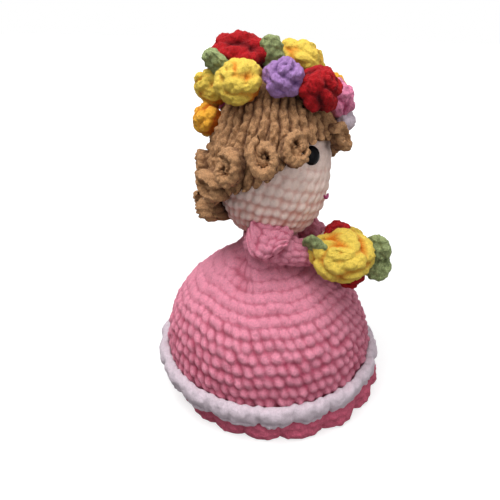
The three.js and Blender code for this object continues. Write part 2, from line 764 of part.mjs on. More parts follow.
// Curls: [name, turn, rise, size, roll direction, roll angle], on the wig's lower edge
const curlShares = [
  ['curl_brow', 9, 19, 0.78, 1, 30],
  ['curl_right_temple', 57, 15, 0.94, -1, 0],
  ['curl_right_side', 80, 5, 1.06, 1, 0],
  ['curl_right_ear', 107, -1, 0.98, -1, 0],
  ['curl_right_back_high', 155, 1, 0.82, 1, 0],
  ['curl_right_back_low', 135, -14, 0.8, -1, 60],
  ['curl_left_temple', -57, 15, 0.94, 1, 0],
  ['curl_left_side', -80, 5, 1.06, -1, 0],
  ['curl_left_ear', -107, -1, 0.98, 1, 0],
  ['curl_left_back_high', -138, 2, 0.85, -1, 0],
  ['curl_left_back_low', -135, -19, 0.85, 1, -70],
  ['curl_nape_high', -172, -3, 0.85, 1, 0],
  ['curl_nape_low', 166, -27, 1.08, -1, 90],
];
for (const [name, turn, rise, size, direction, roll] of curlShares) {
  const curl = curlForm(size, direction).rotateZ(degrees(roll));
  addPiece(name, curl.applyMatrix4(onHead(turn, rise, WIG_THICK + 2 * GAP)), hair);
}

// Crown: [name, turn, rise, size, height share, colour], over the top of the wig
const crownShares = [
  ['rose_red_top', 150, 67, 1.2, 0.98, red],
  ['rose_yellow_top', 8, 76, 1.06, 0.88, yellow],
  ['rose_red_right', 38, 45, 1, 1, red],
  ['rose_purple_right', 74, 50, 0.9, 1, purple],
  ['rose_yellow_right', 110, 45, 1.06, 1, yellow],
  ['rose_yellow_back', 154, 42, 0.72, 1.3, yellow],
  ['rose_orange_back', 156, 22, 0.7, 1, orange],
  ['rose_pink_front', -3, 42, 0.78, 1, rosePink],
  ['rose_white_front', -12, 29, 0.5, 1, white],
  ['rose_orange_left', -42, 48, 0.92, 1, orange],
  ['rose_purple_left', -82, 52, 0.95, 1, purple],
  ['rose_yellow_left', -122, 47, 1, 1, yellow],
  ['rose_pink_back', -164, 38, 0.85, 1, rosePink],
];
for (const [name, turn, rise, size, tall, colour] of crownShares) {
  addPiece(name, roseForm(size, tall).applyMatrix4(onHead(turn, rise, WIG_THICK + 2 * GAP)), colour);
}

// Crown leaves: [name, turn, rise, size, twist], between the roses
const crownLeafShares = [
  ['leaf_crown_back', 134, 51, 1.05, 0],
  ['leaf_crown_top', 80, 74, 0.98, 0],
  ['leaf_crown_left', -98, 76, 0.98, 0],
];
for (const [name, turn, rise, size, twist] of crownLeafShares) {
  addPiece(name, leafForm(size, twist).applyMatrix4(onHead(turn, rise, WIG_THICK + 2 * GAP)), green);
}

// Bouquet: [name, turn, rise, size, height share, colour]
const bouquetShares = [
  ['bouquet_rose_yellow_right', 88, 24, 1.4, 0.66, yellow],
  ['bouquet_rose_yellow_left', -90, 4, 1.25, 0.66, yellow],
  ['bouquet_rose_red_top', 160, 74, 0.7, 0.7, red],
  ['bouquet_rose_red_low', -10, -68, 0.75, 0.7, red],
];
const bouquetRooms = bouquetShares.map(([, turn, rise, size, tall]) => (
  roseRoom(size, tall).applyMatrix4(onPad(turn, rise, GAP))));

// Arms: the hands close round the pad behind the flowers
addPiece('right_sleeve', cut(sleeveForm(-1, 0), bodySweep), pink);
addPiece('left_sleeve', cut(sleeveForm(1, 0), bodySweep), pink);
addPiece('right_sleeve_frill', cut(frillForm(-1), bodySweep), pink);
addPiece('left_sleeve_frill', cut(frillForm(1), bodySweep), pink);
addPiece('right_hand', cut(handForm(-1), [sleeveForm(-1, GAP), padForm(GAP), ...bouquetRooms]), skin);
addPiece('left_hand', cut(handForm(1), [sleeveForm(1, GAP), padForm(GAP), ...bouquetRooms]), skin);

addPiece('bouquet_pad', padForm(0), green);
for (const [name, turn, rise, size, tall, colour] of bouquetShares) {
  addPiece(name, roseForm(size, tall).applyMatrix4(onPad(turn, rise, GAP)), colour);
}

// Bouquet leaves: [name, turn, rise, size, twist]
const bouquetLeafShares = [
  ['bouquet_leaf_side', 148, 44, 0.68, 0],
  ['bouquet_leaf_front_high', 10, 24, 0.8, 90],
  ['bouquet_leaf_front_low', 10, -12, 0.8, 60],
];
for (const [name, turn, rise, size, twist] of bouquetLeafShares) {
  addPiece(name, leafForm(size, twist).applyMatrix4(onPad(turn, rise, GAP)), green);
}

console.log(`least gap between the turns of a curl or rose: ${Math.min(...rollGaps).toFixed(2)} mm`);

export default doll;
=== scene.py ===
# %% [markdown]
# A crocheted doll, dressed over its own frame
#
# The doll is hooked from thick velvety chenille yarn: a round stuffed skirt, an
# egg-shaped head with a ribbed wig, rolled curls, and flowers rolled from long
# strips. The frame gives every piece's place and size. This file gives the
# pieces their stitches. Most of them are made in one way: a smooth form is
# sampled as a grid, and each point of the grid is pushed out by the height of
# the stitch that it lies on. A photograph of stitches would be quicker, but it
# would stay flat at the outline, where crochet shows best.

# %% Load the frame
import json
import math

import bpy
import numpy as np
from mathutils import Matrix, Vector


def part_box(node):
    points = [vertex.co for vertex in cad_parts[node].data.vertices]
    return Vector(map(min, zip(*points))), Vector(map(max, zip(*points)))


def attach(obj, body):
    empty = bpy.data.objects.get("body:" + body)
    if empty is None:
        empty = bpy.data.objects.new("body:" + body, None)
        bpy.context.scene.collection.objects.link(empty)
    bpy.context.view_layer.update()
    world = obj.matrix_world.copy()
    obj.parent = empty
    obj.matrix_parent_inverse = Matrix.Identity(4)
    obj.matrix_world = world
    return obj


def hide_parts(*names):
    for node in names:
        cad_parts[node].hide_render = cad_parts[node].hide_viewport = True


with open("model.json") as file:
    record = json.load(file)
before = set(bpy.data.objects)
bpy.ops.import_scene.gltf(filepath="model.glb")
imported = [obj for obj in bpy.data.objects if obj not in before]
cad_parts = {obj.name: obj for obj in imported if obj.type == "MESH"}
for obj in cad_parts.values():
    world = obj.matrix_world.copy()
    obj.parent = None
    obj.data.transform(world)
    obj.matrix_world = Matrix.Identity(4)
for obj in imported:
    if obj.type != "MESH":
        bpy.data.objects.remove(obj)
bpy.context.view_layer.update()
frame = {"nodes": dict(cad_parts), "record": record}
print("frame nodes:", len(frame["nodes"]))

# %% [markdown]
# Sizes
#
# Blender works in metres, so a doll of this size is easiest to think about in
# millimetres, with one factor for the end. The forms below repeat the frame's
# own driving sizes, and the boxes of its nodes give the rest.

# %% Sizes in millimetres
MM = 0.001


def box_mm(node):
    """The low and the high corner of a node's box."""
    low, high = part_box(node)
    return np.array(low) / MM, np.array(high) / MM


def points_mm(node):
    """The corners of a node's own mesh."""
    return np.array([v.co for v in frame["nodes"][node].data.vertices]) / MM


DRESS_LOW, DRESS_HIGH = box_mm("dress")
DRESS_RADIUS = DRESS_HIGH[0]
DRESS_FOOT = DRESS_LOW[2]
DRESS_TOP = 138.0
BODICE_SPREAD = 5.0
BUSTLE_SWELL = 6.0
NECK_Z = 136.0
HEAD_RADIUS = 43.5
HEAD_CHIN_DROP = 54.0
HEAD_TOP_RISE = 63.0
HEAD_ABOVE_NECK = 50.0
HEAD_LEAN = 14.0
JAW_FULLNESS = 2.5
CROWN_FULLNESS = 2.0
print("dress radius", round(float(DRESS_RADIUS), 1), "mm, foot at", round(float(DRESS_FOOT), 1), "mm")

# %% [markdown]
# Camera
#
# The photograph looks at the doll's right side, a little from above, through a
# lens a bit wider than normal. The camera is made first, so that every later
# step can be judged from it.

# %% Camera
CAMERA_TURN = -72.0
CAMERA_AWAY = 360.0
CAMERA_HEIGHT = 300.0
CAMERA_AIM = 118.0
LENS_PIXELS = 493.6
PHOTO_WIDTH = 500.0
DOLL_AXIS_PIXEL = 269.5
SENSOR_WIDTH = 36.0
NEAREST_SEEN = 0.01

camera_data = bpy.data.cameras.new("camera")
camera = bpy.data.objects.new("camera", camera_data)
bpy.context.collection.objects.link(camera)
turn = math.radians(CAMERA_TURN)
camera.location = Vector((CAMERA_AWAY * math.sin(turn), -CAMERA_AWAY * math.cos(turn), CAMERA_HEIGHT)) * MM
look = Vector((0, 0, CAMERA_AIM * MM)) - camera.location
camera.rotation_euler = look.to_track_quat("-Z", "Y").to_euler()
camera_data.sensor_width = SENSOR_WIDTH
camera_data.lens = LENS_PIXELS / PHOTO_WIDTH * SENSOR_WIDTH
camera_data.shift_x = (PHOTO_WIDTH / 2 - DOLL_AXIS_PIXEL) / PHOTO_WIDTH
camera_data.clip_start = NEAREST_SEEN
bpy.context.scene.camera = camera
print("lens", round(camera_data.lens, 1), "mm")

# %% [markdown]
# Stitches as a height field
#
# A single crochet in chenille looks like a fat slanted lobe with a smaller lobe
# tucked beside it. Both are soft bumps here. The surface is unrolled into columns
# (stitches) and rows (rounds), and the lobes are joined by a power sum: the
# tallest one over a point counts for nearly all of its height, and the crease
# between two lobes stays soft. Every lobe is nudged a little by a number worked
# out from its own column and row, so that no two are alike and every run is the
# same.

# %% Lobes
SINGLE_CROCHET = [
    # across, down, half width, half height, slant, height
    (0.50, 0.52, 0.52, 0.52, -0.32, 1.0),
    (1.0, 0.14, 0.18, 0.24, -0.2, 0.42),
]
FLAT_CROCHET = [(0.5, 0.5, 0.54, 0.48, 0.22, 1.0)]
FACE_STITCH = [(0.5, 0.5, 0.50, 0.47, 0.50, 1.0)]
KNOBBLE = [(0.5, 0.5, 0.52, 0.52, 0.15, 1.0)]
RIB = [
    (0.28, 0.46, 0.30, 0.50, 0.20, 1.0),
    (0.73, 0.60, 0.30, 0.50, -0.20, 0.94),
]
JOIN_POWER = 4.0
LOBE_STEEPNESS = 1.3
LOBE_HEAD_LONGER = 1.12
LOBE_FOOT_SHORTER = 0.88
UNEVEN = 0.12
# each way of nudging a lobe draws its own numbers
NUDGE_DOWN, NUDGE_WIDTH, NUDGE_HEIGHT, NUDGE_ROUND = 3, 5, 7, 31
MIX_COLUMN, MIX_ROW, MIX_SEED, MIX_SIZE = 12.9898, 78.233, 37.719, 4375.85
FULL_TURN = 2 * math.pi
FIRST_COLUMN = 50
FIRST_ROUND = 20


def jitter(column, row, seed):
    """A repeatable number from -1 to 1 for a stitch."""
    mixed = np.sin(column * MIX_COLUMN + row * MIX_ROW + seed * MIX_SEED) * MIX_SIZE
    return (mixed - np.floor(mixed)) * 2 - 1


def stitches(u, v, lobes, around, seed, drift=0.0, wobble=0.10, slip=0.5):
    """The height, from 0 to about 1, of the stitches at column u and row v."""
    total = np.zeros(np.broadcast(u, v).shape)
    for row_step in (-1, 0, 1):
        row = np.floor(v) + row_step
        moved = u + drift * row + slip * jitter(0 * row, row, seed + NUDGE_ROUND)
        for column_step in (-1, 0, 1):
            column = np.floor(moved) + column_step
            name = np.mod(np.round(column - drift * row), around) if around else column
            for own, (x, y, wide, tall, slant, height) in enumerate(lobes, seed):
                across = moved - column - x - wobble * jitter(name, row, own)
                down = v - row - y - wobble * jitter(name, row, own + NUDGE_DOWN)
                a = (across - slant * down) / (wide * (1 + UNEVEN * jitter(name, row, own + NUDGE_WIDTH)))
                b = down / (tall * np.where(down < 0, LOBE_HEAD_LONGER, LOBE_FOOT_SHORTER))
                lobe = np.exp(-((a * a + b * b) ** LOBE_STEEPNESS))
                total += (height * (1 + UNEVEN * jitter(name, row, own + NUDGE_HEIGHT)) * lobe) ** JOIN_POWER
    return total ** (1 / JOIN_POWER)


def once_around(columns):
    """Turns an even step apart, once around."""
    return np.linspace(0, FULL_TURN, columns, endpoint=False)


def count_round(turn, count, first=FIRST_COLUMN):
    """Turns as stitches of a round that has so many, counted from a first one above zero."""
    return turn / FULL_TURN * count + first


def ramp(value, start, end):
    """0 up to the start, 1 from the end on, and a straight rise between them."""
    return np.clip((value - start) / (end - start), 0, 1)


def waver(angle, waves):
    """A sum of waves around a piece, each with its size, its count and its start."""
    return sum(size * np.sin(count * angle + start) for size, count, start in waves)


# %% [markdown]
# Pile
#
# Chenille is furry. At this size the pile is an unevenness of some tenths of a
# millimetre, so a sum of waves in many directions does for the mesh, and the
# material adds the finer part.

# %% Pile
PILE_WAVES = 18
PILE_SPREAD = (0.75, 1.5)
PILE_START = 1.7


def pile(points, layers, seed=0):
    """Soft unevenness, a sum of layers that each have a size, an amount and a seed of their own."""
    total = np.zeros(points.shape[:-1])
    for size, amount, own_seed in layers:
        directions = np.random.default_rng(seed + own_seed).normal(size=(PILE_WAVES, 3))
        directions /= np.linalg.norm(directions, axis=1)[:, None]
        lengths = np.linspace(*PILE_SPREAD, PILE_WAVES) * size
        layer = np.zeros(points.shape[:-1])
        for k, (direction, length) in enumerate(zip(directions, lengths)):
            layer += np.sin(points @ direction * (FULL_TURN / length) + k * PILE_START)
        total += amount * layer / math.sqrt(PILE_WAVES)
    return total


# %% [markdown]
# From grid to mesh
#
# A grid has its rows down the piece and its columns round it. The normals come
# from the grid itself, so the same helper serves a skirt, a petal and a curl. A
# painted shade, worked out from the height of the stitch, is kept on the mesh as
# an attribute, so that the yarn is painted darker and redder down between the
# stitches than on their tops, as shade falls there.

# %% Grids
POLE_GAP = 0.05
POLES = (-math.pi / 2 + POLE_GAP, math.pi / 2 - POLE_GAP)
FLAT_SHADE = 0.25
TINY = 1e-9


def net(down, around):
    """Two grids: the values that change down a piece, and those that change around it."""
    return np.meshgrid(down, around, indexing="ij")


def grid_normals(grid, around):
    if around:
        across = np.roll(grid, -1, axis=1) - np.roll(grid, 1, axis=1)
    else:
        across = np.gradient(grid, axis=1)
    down = np.gradient(grid, axis=0)
    normal = np.cross(down, across)
    size = np.linalg.norm(normal, axis=-1, keepdims=True)
    return normal / np.maximum(size, TINY)


def pushed(grid, height):
    """The grid moved along its own normals by a height."""
    return grid + grid_normals(grid, True) * height[..., None]


def grid_faces(rows, columns, around):
    last = columns if around else columns - 1
    row, column = net(np.arange(rows - 1), np.arange(last))
    right = (column + 1) % columns
    here = row * columns
    below = here + columns
    return np.stack([here + column, below + column, below + right, here + right], -1).reshape(-1, 4)


def ball_grid(rows, columns, low=POLES[0], high=POLES[1]):
    """Rises and turns over a ball, and the points of a ball of radius 1 there."""
    rise, turn = net(np.linspace(low, high, rows), once_around(columns))
    return rise, turn, np.stack([np.cos(rise) * np.cos(turn), np.cos(rise) * np.sin(turn), np.sin(rise)], -1)


def polar(radius, angle, z):
    return np.stack([radius * np.cos(angle), radius * np.sin(angle), z], -1)


def rounded(value, power):
    return np.sign(value) * np.abs(value) ** power


def shaded(height, relief):
    """The painted shade at a stitch height, dark in the creases and light on the tops; creases darken less
    where the relief is low.
    """
    return 1 - (1 - height) * (FLAT_SHADE + (1 - FLAT_SHADE) * relief)


def build(name, grid, height, around=True, caps=(False, False)):
    """A mesh from a grid in millimetres, with each point's painted shade kept on it."""
    rows, columns = grid.shape[:2]
    points = grid.reshape(-1, 3)
    heights = height.reshape(-1)
    faces = grid_faces(rows, columns, around).tolist()
    for capped, row in zip(caps, (0, rows - 1)):
        if capped:
            ring = np.arange(columns) + row * columns
            points = np.vstack([points, grid[row].mean(axis=0)])
            heights = np.append(heights, height[row].mean())
            centre = len(points) - 1
            for a, b in zip(ring.tolist(), np.roll(ring, -1).tolist()):
                faces.append([centre, a, b] if row == 0 else [centre, b, a])
    mesh = bpy.data.meshes.new(name)
    mesh.from_pydata((points * MM).tolist(), [], faces)
    # the painted shade that the yarn material turns into crease colour
    kept = mesh.attributes.new("stitch_height", "FLOAT", "POINT")
    kept.data.foreach_set("value", heights.astype(np.float32))
    mesh.polygons.foreach_set("use_smooth", np.ones(len(mesh.polygons), bool))
    mesh.update()
    piece = bpy.data.objects.new(name, mesh)
    bpy.context.collection.objects.link(piece)
    return piece


# %% [markdown]
# Yarn material
#
# One recipe makes every colour. The base colour runs from a deep painted shade
# between the stitches to a light one on their tops, two scales of noise break it
# up, sheen gives the velvet edge, and two scales of bump stand for the pile.

# %% Nodes
def set_inputs(node, settings):
    for name, value in settings.items():
        node.inputs[name].default_value = value


def new_node(nodes, kind, settings=None, operation=None):
    """A shader node with its inputs set."""
    node = nodes.new("ShaderNode" + kind)
    if operation:
        node.operation = operation
    set_inputs(node, settings or {})
    return node


def wire(links, wires):
    """Links nodes; a wire is a node, its output, the next node and its input."""
    for start, output, end, into in wires:
        links.new(start.outputs[output], end.inputs[into])


def new_material(name, settings):
    """A material whose main shader is set; returns the material, its shader, its nodes and its links."""
    material = bpy.data.materials.new(name)
    material.use_nodes = True
    nodes = material.node_tree.nodes
    shader = nodes["Principled BSDF"]
    set_inputs(shader, settings)
    return material, shader, nodes, material.node_tree.links


# %% Yarn
YARN_SURFACE = {"Roughness": 0.95, "Specular IOR Level": 0.08, "Sheen Weight": 0.25, "Sheen Roughness": 0.5}
SHEEN_SHARE, SHEEN_WHITE = 0.7, 0.2
COARSE_PILE = {"Scale": 620.0, "Detail": 4.0, "Roughness": 0.7}
FINE_PILE = {"Scale": 1500.0, "Detail": 2.0}
COARSE_DEPTH, FINE_DEPTH = 0.0013, 0.0008
NOISE_LOW, NOISE_HIGH = 0.76, 1.24
CREASE_UP_TO, TOP_FROM = 0.08, 0.62


def yarn(name, light, deep, strength, mottle):
    """Velvety chenille, from a deep colour of painted shade in the creases to a light one on the stitches.
    """
    sheen = [min(1.0, c * SHEEN_SHARE + SHEEN_WHITE) for c in light]
    material, shader, nodes, links = new_material(name, {**YARN_SURFACE, "Sheen Tint": (*sheen, 1)})
    # painted shade from the mesh, low in the creases and high on the stitch tops
    height = new_node(nodes, "Attribute")
    height.attribute_name = "stitch_height"
    place = new_node(nodes, "TexCoord")
    coarse = new_node(nodes, "TexNoise", COARSE_PILE)
    fine = new_node(nodes, "TexNoise", FINE_PILE)
    # painted shade: the deep colour in the creases, the light one on the tops
    colours = new_node(nodes, "ValToRGB")
    stops = zip(colours.color_ramp.elements, (CREASE_UP_TO, TOP_FROM), (deep, light))
    for element, position, colour in stops:
        element.position = position
        element.color = (*colour, 1)
    both = new_node(nodes, "Math", operation="ADD")
    shade = new_node(nodes, "MapRange", {"From Min": NOISE_LOW, "From Max": NOISE_HIGH,
                                         "To Min": 1 - mottle, "To Max": 1 + mottle})
    tint = new_node(nodes, "VectorMath", operation="SCALE")
    first = new_node(nodes, "Bump", {"Strength": strength, "Distance": COARSE_DEPTH})
    second = new_node(nodes, "Bump", {"Strength": strength, "Distance": FINE_DEPTH})
    wire(links, [
        (place, "Object", coarse, "Vector"), (place, "Object", fine, "Vector"),
        (coarse, "Fac", both, 0), (fine, "Fac", both, 1), (both, "Value", shade, "Value"),
        (height, "Fac", colours, "Fac"), (colours, "Color", tint, 0), (shade, "Result", tint, "Scale"),
        (tint, "Vector", shader, "Base Color"),
        (coarse, "Fac", first, "Height"), (fine, "Fac", second, "Height"),
        (first, "Normal", second, "Normal"), (second, "Normal", shader, "Normal"),
    ])
    return material


def srgb(red, green, blue):
    """A colour written as it looks on a screen, turned into the linear one that a shader takes."""
    parts = [c / 255 for c in (red, green, blue)]
    return tuple(c / 12.92 if c <= 0.04045 else ((c + 0.055) / 1.055) ** 2.4 for c in parts)


YARN_COLOURS = {
    # on the stitches, in the creases as painted shade, strength of the pile, mottle
    "pink": ((235, 148, 171), (174, 68, 95), 1.0, 0.17),
    # deep_pink is the skirt's pink made darker and redder: painted shade for the petticoat under the trim
    "deep_pink": ((216, 104, 130), (170, 58, 84), 1.0, 0.14),
    "white": ((212, 196, 206), (180, 156, 170), 0.8, 0.12),
    # the skin's crease colour is painted shade, reddened as a painted reflection of the pink dress
    "skin": ((244, 218, 208), (206, 138, 124), 0.5, 0.08),
    "hair": ((184, 139, 99), (82, 48, 34), 1.0, 0.3),
    "red": ((172, 26, 32), (70, 4, 12), 1.0, 0.26),
    "yellow": ((236, 204, 88), (214, 118, 26), 1.0, 0.16),
    "orange": ((242, 176, 60), (196, 96, 20), 1.0, 0.15),
    "purple": ((168, 128, 186), (80, 44, 100), 1.0, 0.2),
    "green": ((152, 164, 113), (62, 76, 42), 1.0, 0.34),
    "rose_pink": ((228, 136, 170), (170, 66, 104), 1.0, 0.22),
}
YARNS = {
    name + "_yarn": yarn(name + "_chenille", srgb(*light), srgb(*deep), strength, mottle)
    for name, (light, deep, strength, mottle) in YARN_COLOURS.items()
}
SLOT_OF = {row["node"]: row["material_slot"] for row in frame["record"]["subparts"]}
BODY_OF = {node: body for body, nodes in frame["record"]["behaviour"]["bodies"].items() for node in nodes}
print("yarns:", ", ".join(sorted(YARNS)))


def dress_up(piece, node, *more, material=None):
    """The piece takes a node's yarn or a material of its own, the node's slot and its body."""
    slot = SLOT_OF[node]
    piece.data.materials.append(YARNS[slot] if material is None else material)
    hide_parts(node, *more)
    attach(piece, BODY_OF[node])
    return piece


def crocheted(node, grid, height, turned=False, ending="_crochet"):
    """A closed piece in a node's place; a grid that runs inside out is turned."""
    if turned:
        grid, height = grid[:, ::-1], height[:, ::-1]
    return dress_up(build(node + ending, grid, height, caps=(True, True)), node)


# %% [markdown]
# The dress
#
# The skirt is a stuffed dome hooked in rounds from the waist down, and it gains
# stitches as it widens. A lathe would make the dome, but the back is fuller than
# the front, so the form is a function of height and turn.

# %% Dress form
BELL = [
    (0, 0.92), (0.1, 0.965), (0.24, 1), (0.4, 0.95), (0.56, 0.825), (0.67, 0.675),
    (0.77, 0.5), (0.85, 0.35), (0.91, 0.28), (0.965, 0.25), (1, 0.245),
]
BUSTLE = [(0, 0), (0.35, 0.5), (0.6, 0.95), (0.72, 0.85), (0.82, 0.35), (0.92, 0), (1, 0)]
SPREAD = [(0, 0), (0.8, 0), (0.92, 0.7), (1, 1)]


def follow(table, share):
    """Reads a smooth value from a table of places and values."""
    places = np.array([p for p, _ in table])
    values = np.array([v for _, v in table])
    share = np.clip(share, places[0], places[-1])
    after = np.clip(np.searchsorted(places, share), 1, len(places) - 1)
    before = after - 1
    outer_low = np.maximum(before - 1, 0)
    outer_high = np.minimum(after + 1, len(places) - 1)
    span = places[after] - places[before]
    part = (share - places[before]) / span
    slope_low = (values[after] - values[outer_low]) / (places[after] - places[outer_low]) * span
    slope_high = (values[outer_high] - values[before]) / (places[outer_high] - places[before]) * span
    square, cube = part**2, part**3
    return (
        values[before] * (2 * cube - 3 * square + 1) + slope_low * (cube - 2 * square + part)
        + values[after] * (3 * square - 2 * cube) + slope_high * (cube - square)
    )


def dress_points(z, angle):
    """Points of the smooth dress at a height and a turn."""
    share = (z - DRESS_FOOT) / (DRESS_TOP - DRESS_FOOT)
    back = np.maximum(0, np.sin(angle))
    radius = DRESS_RADIUS * follow(BELL, share) + BUSTLE_SWELL * follow(BUSTLE, share) * back**2
    spread = BODICE_SPREAD * follow(SPREAD, share)
    return np.stack([(radius + spread) * np.cos(angle), radius * np.sin(angle), z], -1)


def even_steps(points, spacing):
    """Places at an even spacing along a line of points, and the length up to each."""
    lengths = np.append(0, np.cumsum(np.linalg.norm(np.diff(points, axis=0), axis=1)))
    count = max(2, int(round(lengths[-1] / spacing)) + 1)
    wanted = np.linspace(0, lengths[-1], count)
    return np.stack([np.interp(wanted, lengths, points[:, k]) for k in range(points.shape[1])], -1), wanted


# %% [markdown]
# The dress's stitches
#
# Up the skirt the rounds begin to run together into ridges, and at the back they
# are flatter there. A fold runs from the back of the bodice down and out to the
# doll's right.

# %% Dress stitches
ROUND_HEIGHT = 9.2
STITCHES_FROM_ROUND = [(-9, 26), (0, 38), (2, 48), (4, 58), (8, 70)]
ROUND_BLEND = 4
ROUND_WAVER = [(0.18, 3, 1), (0.10, 7, 2), (0.05, 13, 0)]
DRESS_FIRST_COLUMN = 400
RIDGE_HEIGHTS = (70.0, 95.0)
RIDGE_SHARE = 0.5
RIDGE_ROUNDNESS = 0.5
RIDGE_ALONE = 0.45
FOLD_TOP = np.array([-12.0, 21.5, 127.0])
FOLD_MIDDLE = np.array([-30.0, 14.5, 115.0])
FOLD_FOOT = np.array([-43.0, 8.0, 106.0])
FOLD_DEPTH = 6.5
FOLD_HALF_WIDTH = 6.5


def dress_stitches(rounds, angle, z):
    """Heights of the stitches; the count of a round grows by steps, each blended into the next."""
    height = 0
    for first, count in STITCHES_FROM_ROUND:
        begun = np.clip((rounds - first) * ROUND_BLEND + 0.5, 0, 1)
        u = count_round(-angle, count, DRESS_FIRST_COLUMN)
        row = stitches(u, rounds, SINGLE_CROCHET, count, count, drift=0.5, slip=0.12, wobble=0.12)
        height = height * (1 - begun) + row * begun
    upper = RIDGE_SHARE * ramp(z, *RIDGE_HEIGHTS)
    ridge = np.abs(np.sin(math.pi * rounds)) ** RIDGE_ROUNDNESS
    return height * (1 - upper) + ridge * (RIDGE_ALONE + (1 - RIDGE_ALONE) * height) * upper


def near_line(points, start, end):
    """Distance of points to a line, which reaches from start to end."""
    along = end - start
    part = np.clip((points - start) @ along / (along @ along), 0, 1)
    return np.linalg.norm(points - start - part[..., None] * along, axis=-1)


def fold_crease(form):
    """1 down in the fold and 0 away from it."""
    away = np.minimum(near_line(form, FOLD_TOP, FOLD_MIDDLE), near_line(form, FOLD_MIDDLE, FOLD_FOOT))
    return np.exp(-((away / FOLD_HALF_WIDTH) ** 2))


# %% Dress mesh
DRESS_COLUMNS = 560
DRESS_ROW_SPACING = 1.0
PROFILE_POINTS = 400
WAIST_Z = 112.0
SKIRT_UNDER_TRIM = 12.0
STITCH_RISE = 3.1
STITCH_MIDDLE = 0.72
RELIEF_BY_HEIGHT = [(0, 1), (64, 1), (84, 0.9), (100, 0.8), (125, 0.75), (140, 0.6)]
# painted shade: the skirt darkens towards the floor, where less of the light from above reaches
SHADE_BY_HEIGHT = [(20, 0.5), (60, 0.64), (80, 0.8), (95, 1)]
SMOOTH_BACK = 0.45
SMOOTH_TURN = 0.6
SMOOTH_HEIGHTS = (75.0, 90.0)
DRESS_PILE = [(3.4, 0.16, 5), (11.0, 0.6, 6)]
# painted shade in the fold
FOLD_SHADE = 0.35
EDGE_INWARD = [0.8, 0.8, 1]
EDGE_DROP = [0, 0, -1.5]
EDGE_LIP = [0, 0, 1.2]
EDGE_DEPTH = [0, 0, -6]
# painted shade inside the top edge, where the neck opening lies in shadow
EDGE_SHADE = 0.4


def knit_dress():
    heights = np.linspace(DRESS_TOP, SKIRT_UNDER_TRIM, PROFILE_POINTS)
    line, length = even_steps(dress_points(heights, np.zeros_like(heights)), DRESS_ROW_SPACING)
    z, angle = net(line[:, 2], once_around(DRESS_COLUMNS))
    form = dress_points(z, angle)
    waist_length = float(np.interp(-WAIST_Z, -line[:, 2], length))
    rounds = (length - waist_length)[:, None] / ROUND_HEIGHT + waver(angle, ROUND_WAVER)
    height = dress_stitches(rounds, angle, z)
    smooth = SMOOTH_BACK * np.clip(np.sin(angle + SMOOTH_TURN), 0, 1) * ramp(z, *SMOOTH_HEIGHTS)
    relief = np.interp(z, *zip(*RELIEF_BY_HEIGHT)) * (1 - smooth)
    crease = fold_crease(form)
    normal = grid_normals(form, True)
    push = (height - STITCH_MIDDLE) * STITCH_RISE * relief - FOLD_DEPTH * crease
    points = form + normal * push[..., None]
    points += normal * pile(points, DRESS_PILE)[..., None]
    # painted shade: darker in the creases, in the fold and towards the floor
    shade = shaded(height, relief) * (1 - FOLD_SHADE * crease) * np.interp(z, *zip(*SHADE_BY_HEIGHT))
    inner = form[:1] * EDGE_INWARD + EDGE_DROP
    lip = (points[:1] + inner) / 2 + EDGE_LIP
    points = np.concatenate([inner + EDGE_DEPTH, inner, lip, points])
    shade = np.concatenate([shade[:1] * EDGE_SHADE] * 3 + [shade])
    return build("dress_crochet", points, shade, caps=(False, True))


dress = dress_up(knit_dress(), "dress", "body_stuffing")
print("dress points:", len(dress.data.vertices))

# %% [markdown]
# The white trim and the petticoat
#
# The trim is a soft rolled band of shells, its upper edge waved over the last
# round of the skirt, its lower edge in wider scallops. The petticoat is one more
# round below it in a darker, redder pink that paints the shade under the trim,
# and it carries the doll's weight on the floor.
# The hem sits a little higher at the back, and the petticoat's top follows it.

# %% Hem
TRIM_SCALLOPS = 18
TRIM_DIP = 1.8
HEM_TILT = 2.5
HEM_TILT_TURN = math.radians(280)
HEM_GAP = 0.3


def hem_rise(angle):
    """How much higher or lower the hem hangs on each side."""
    return -TRIM_DIP * np.cos(2 * angle) - HEM_TILT * np.cos(angle - HEM_TILT_TURN)


def outside_dress(z, angle):
    """Distance from the doll's axis to just outside the smooth dress."""
    form = dress_points(z, angle)
    return np.hypot(form[..., 0], form[..., 1]) + HEM_GAP


# %% Trim
TRIM_COLUMNS = 612
TRIM_ROWS = 56
TRIM_MIDDLE_Z = 25.0
TRIM_HALF_HEIGHT = 8.8
TRIM_DEPTH = 10.0
TRIM_SLOPE = 1.8
TRIM_LOBE = 4.4
TRIM_WANDER = [(0.035, 5, 0.6), (0.02, 11, 0)]
TRIM_UNEVEN = [(0.10, 7, 2)]
SHELL_ROUNDNESS = 0.55
SHELL_MIDDLE = 0.6
EDGE_STITCHES = 58
EDGE_WAVE = 0.7
GROOVE_DEPTH = 1.3
GROOVE_PLACE = -0.35
GROOVE_HALF_WIDTH = 0.16
PUCKER_DEPTH = 0.7
PUCKERS_IN_SHELL = 5
GAP_DEPTH = 1.4
TRIM_PILE = [(9.0, 0.55, 13), (4.0, 0.15, 12)]
# painted shade: the trim is darker in its groove and in the gaps between its shells
TRIM_LIGHT = 0.95
TRIM_HOLLOW_SHADE = 0.5


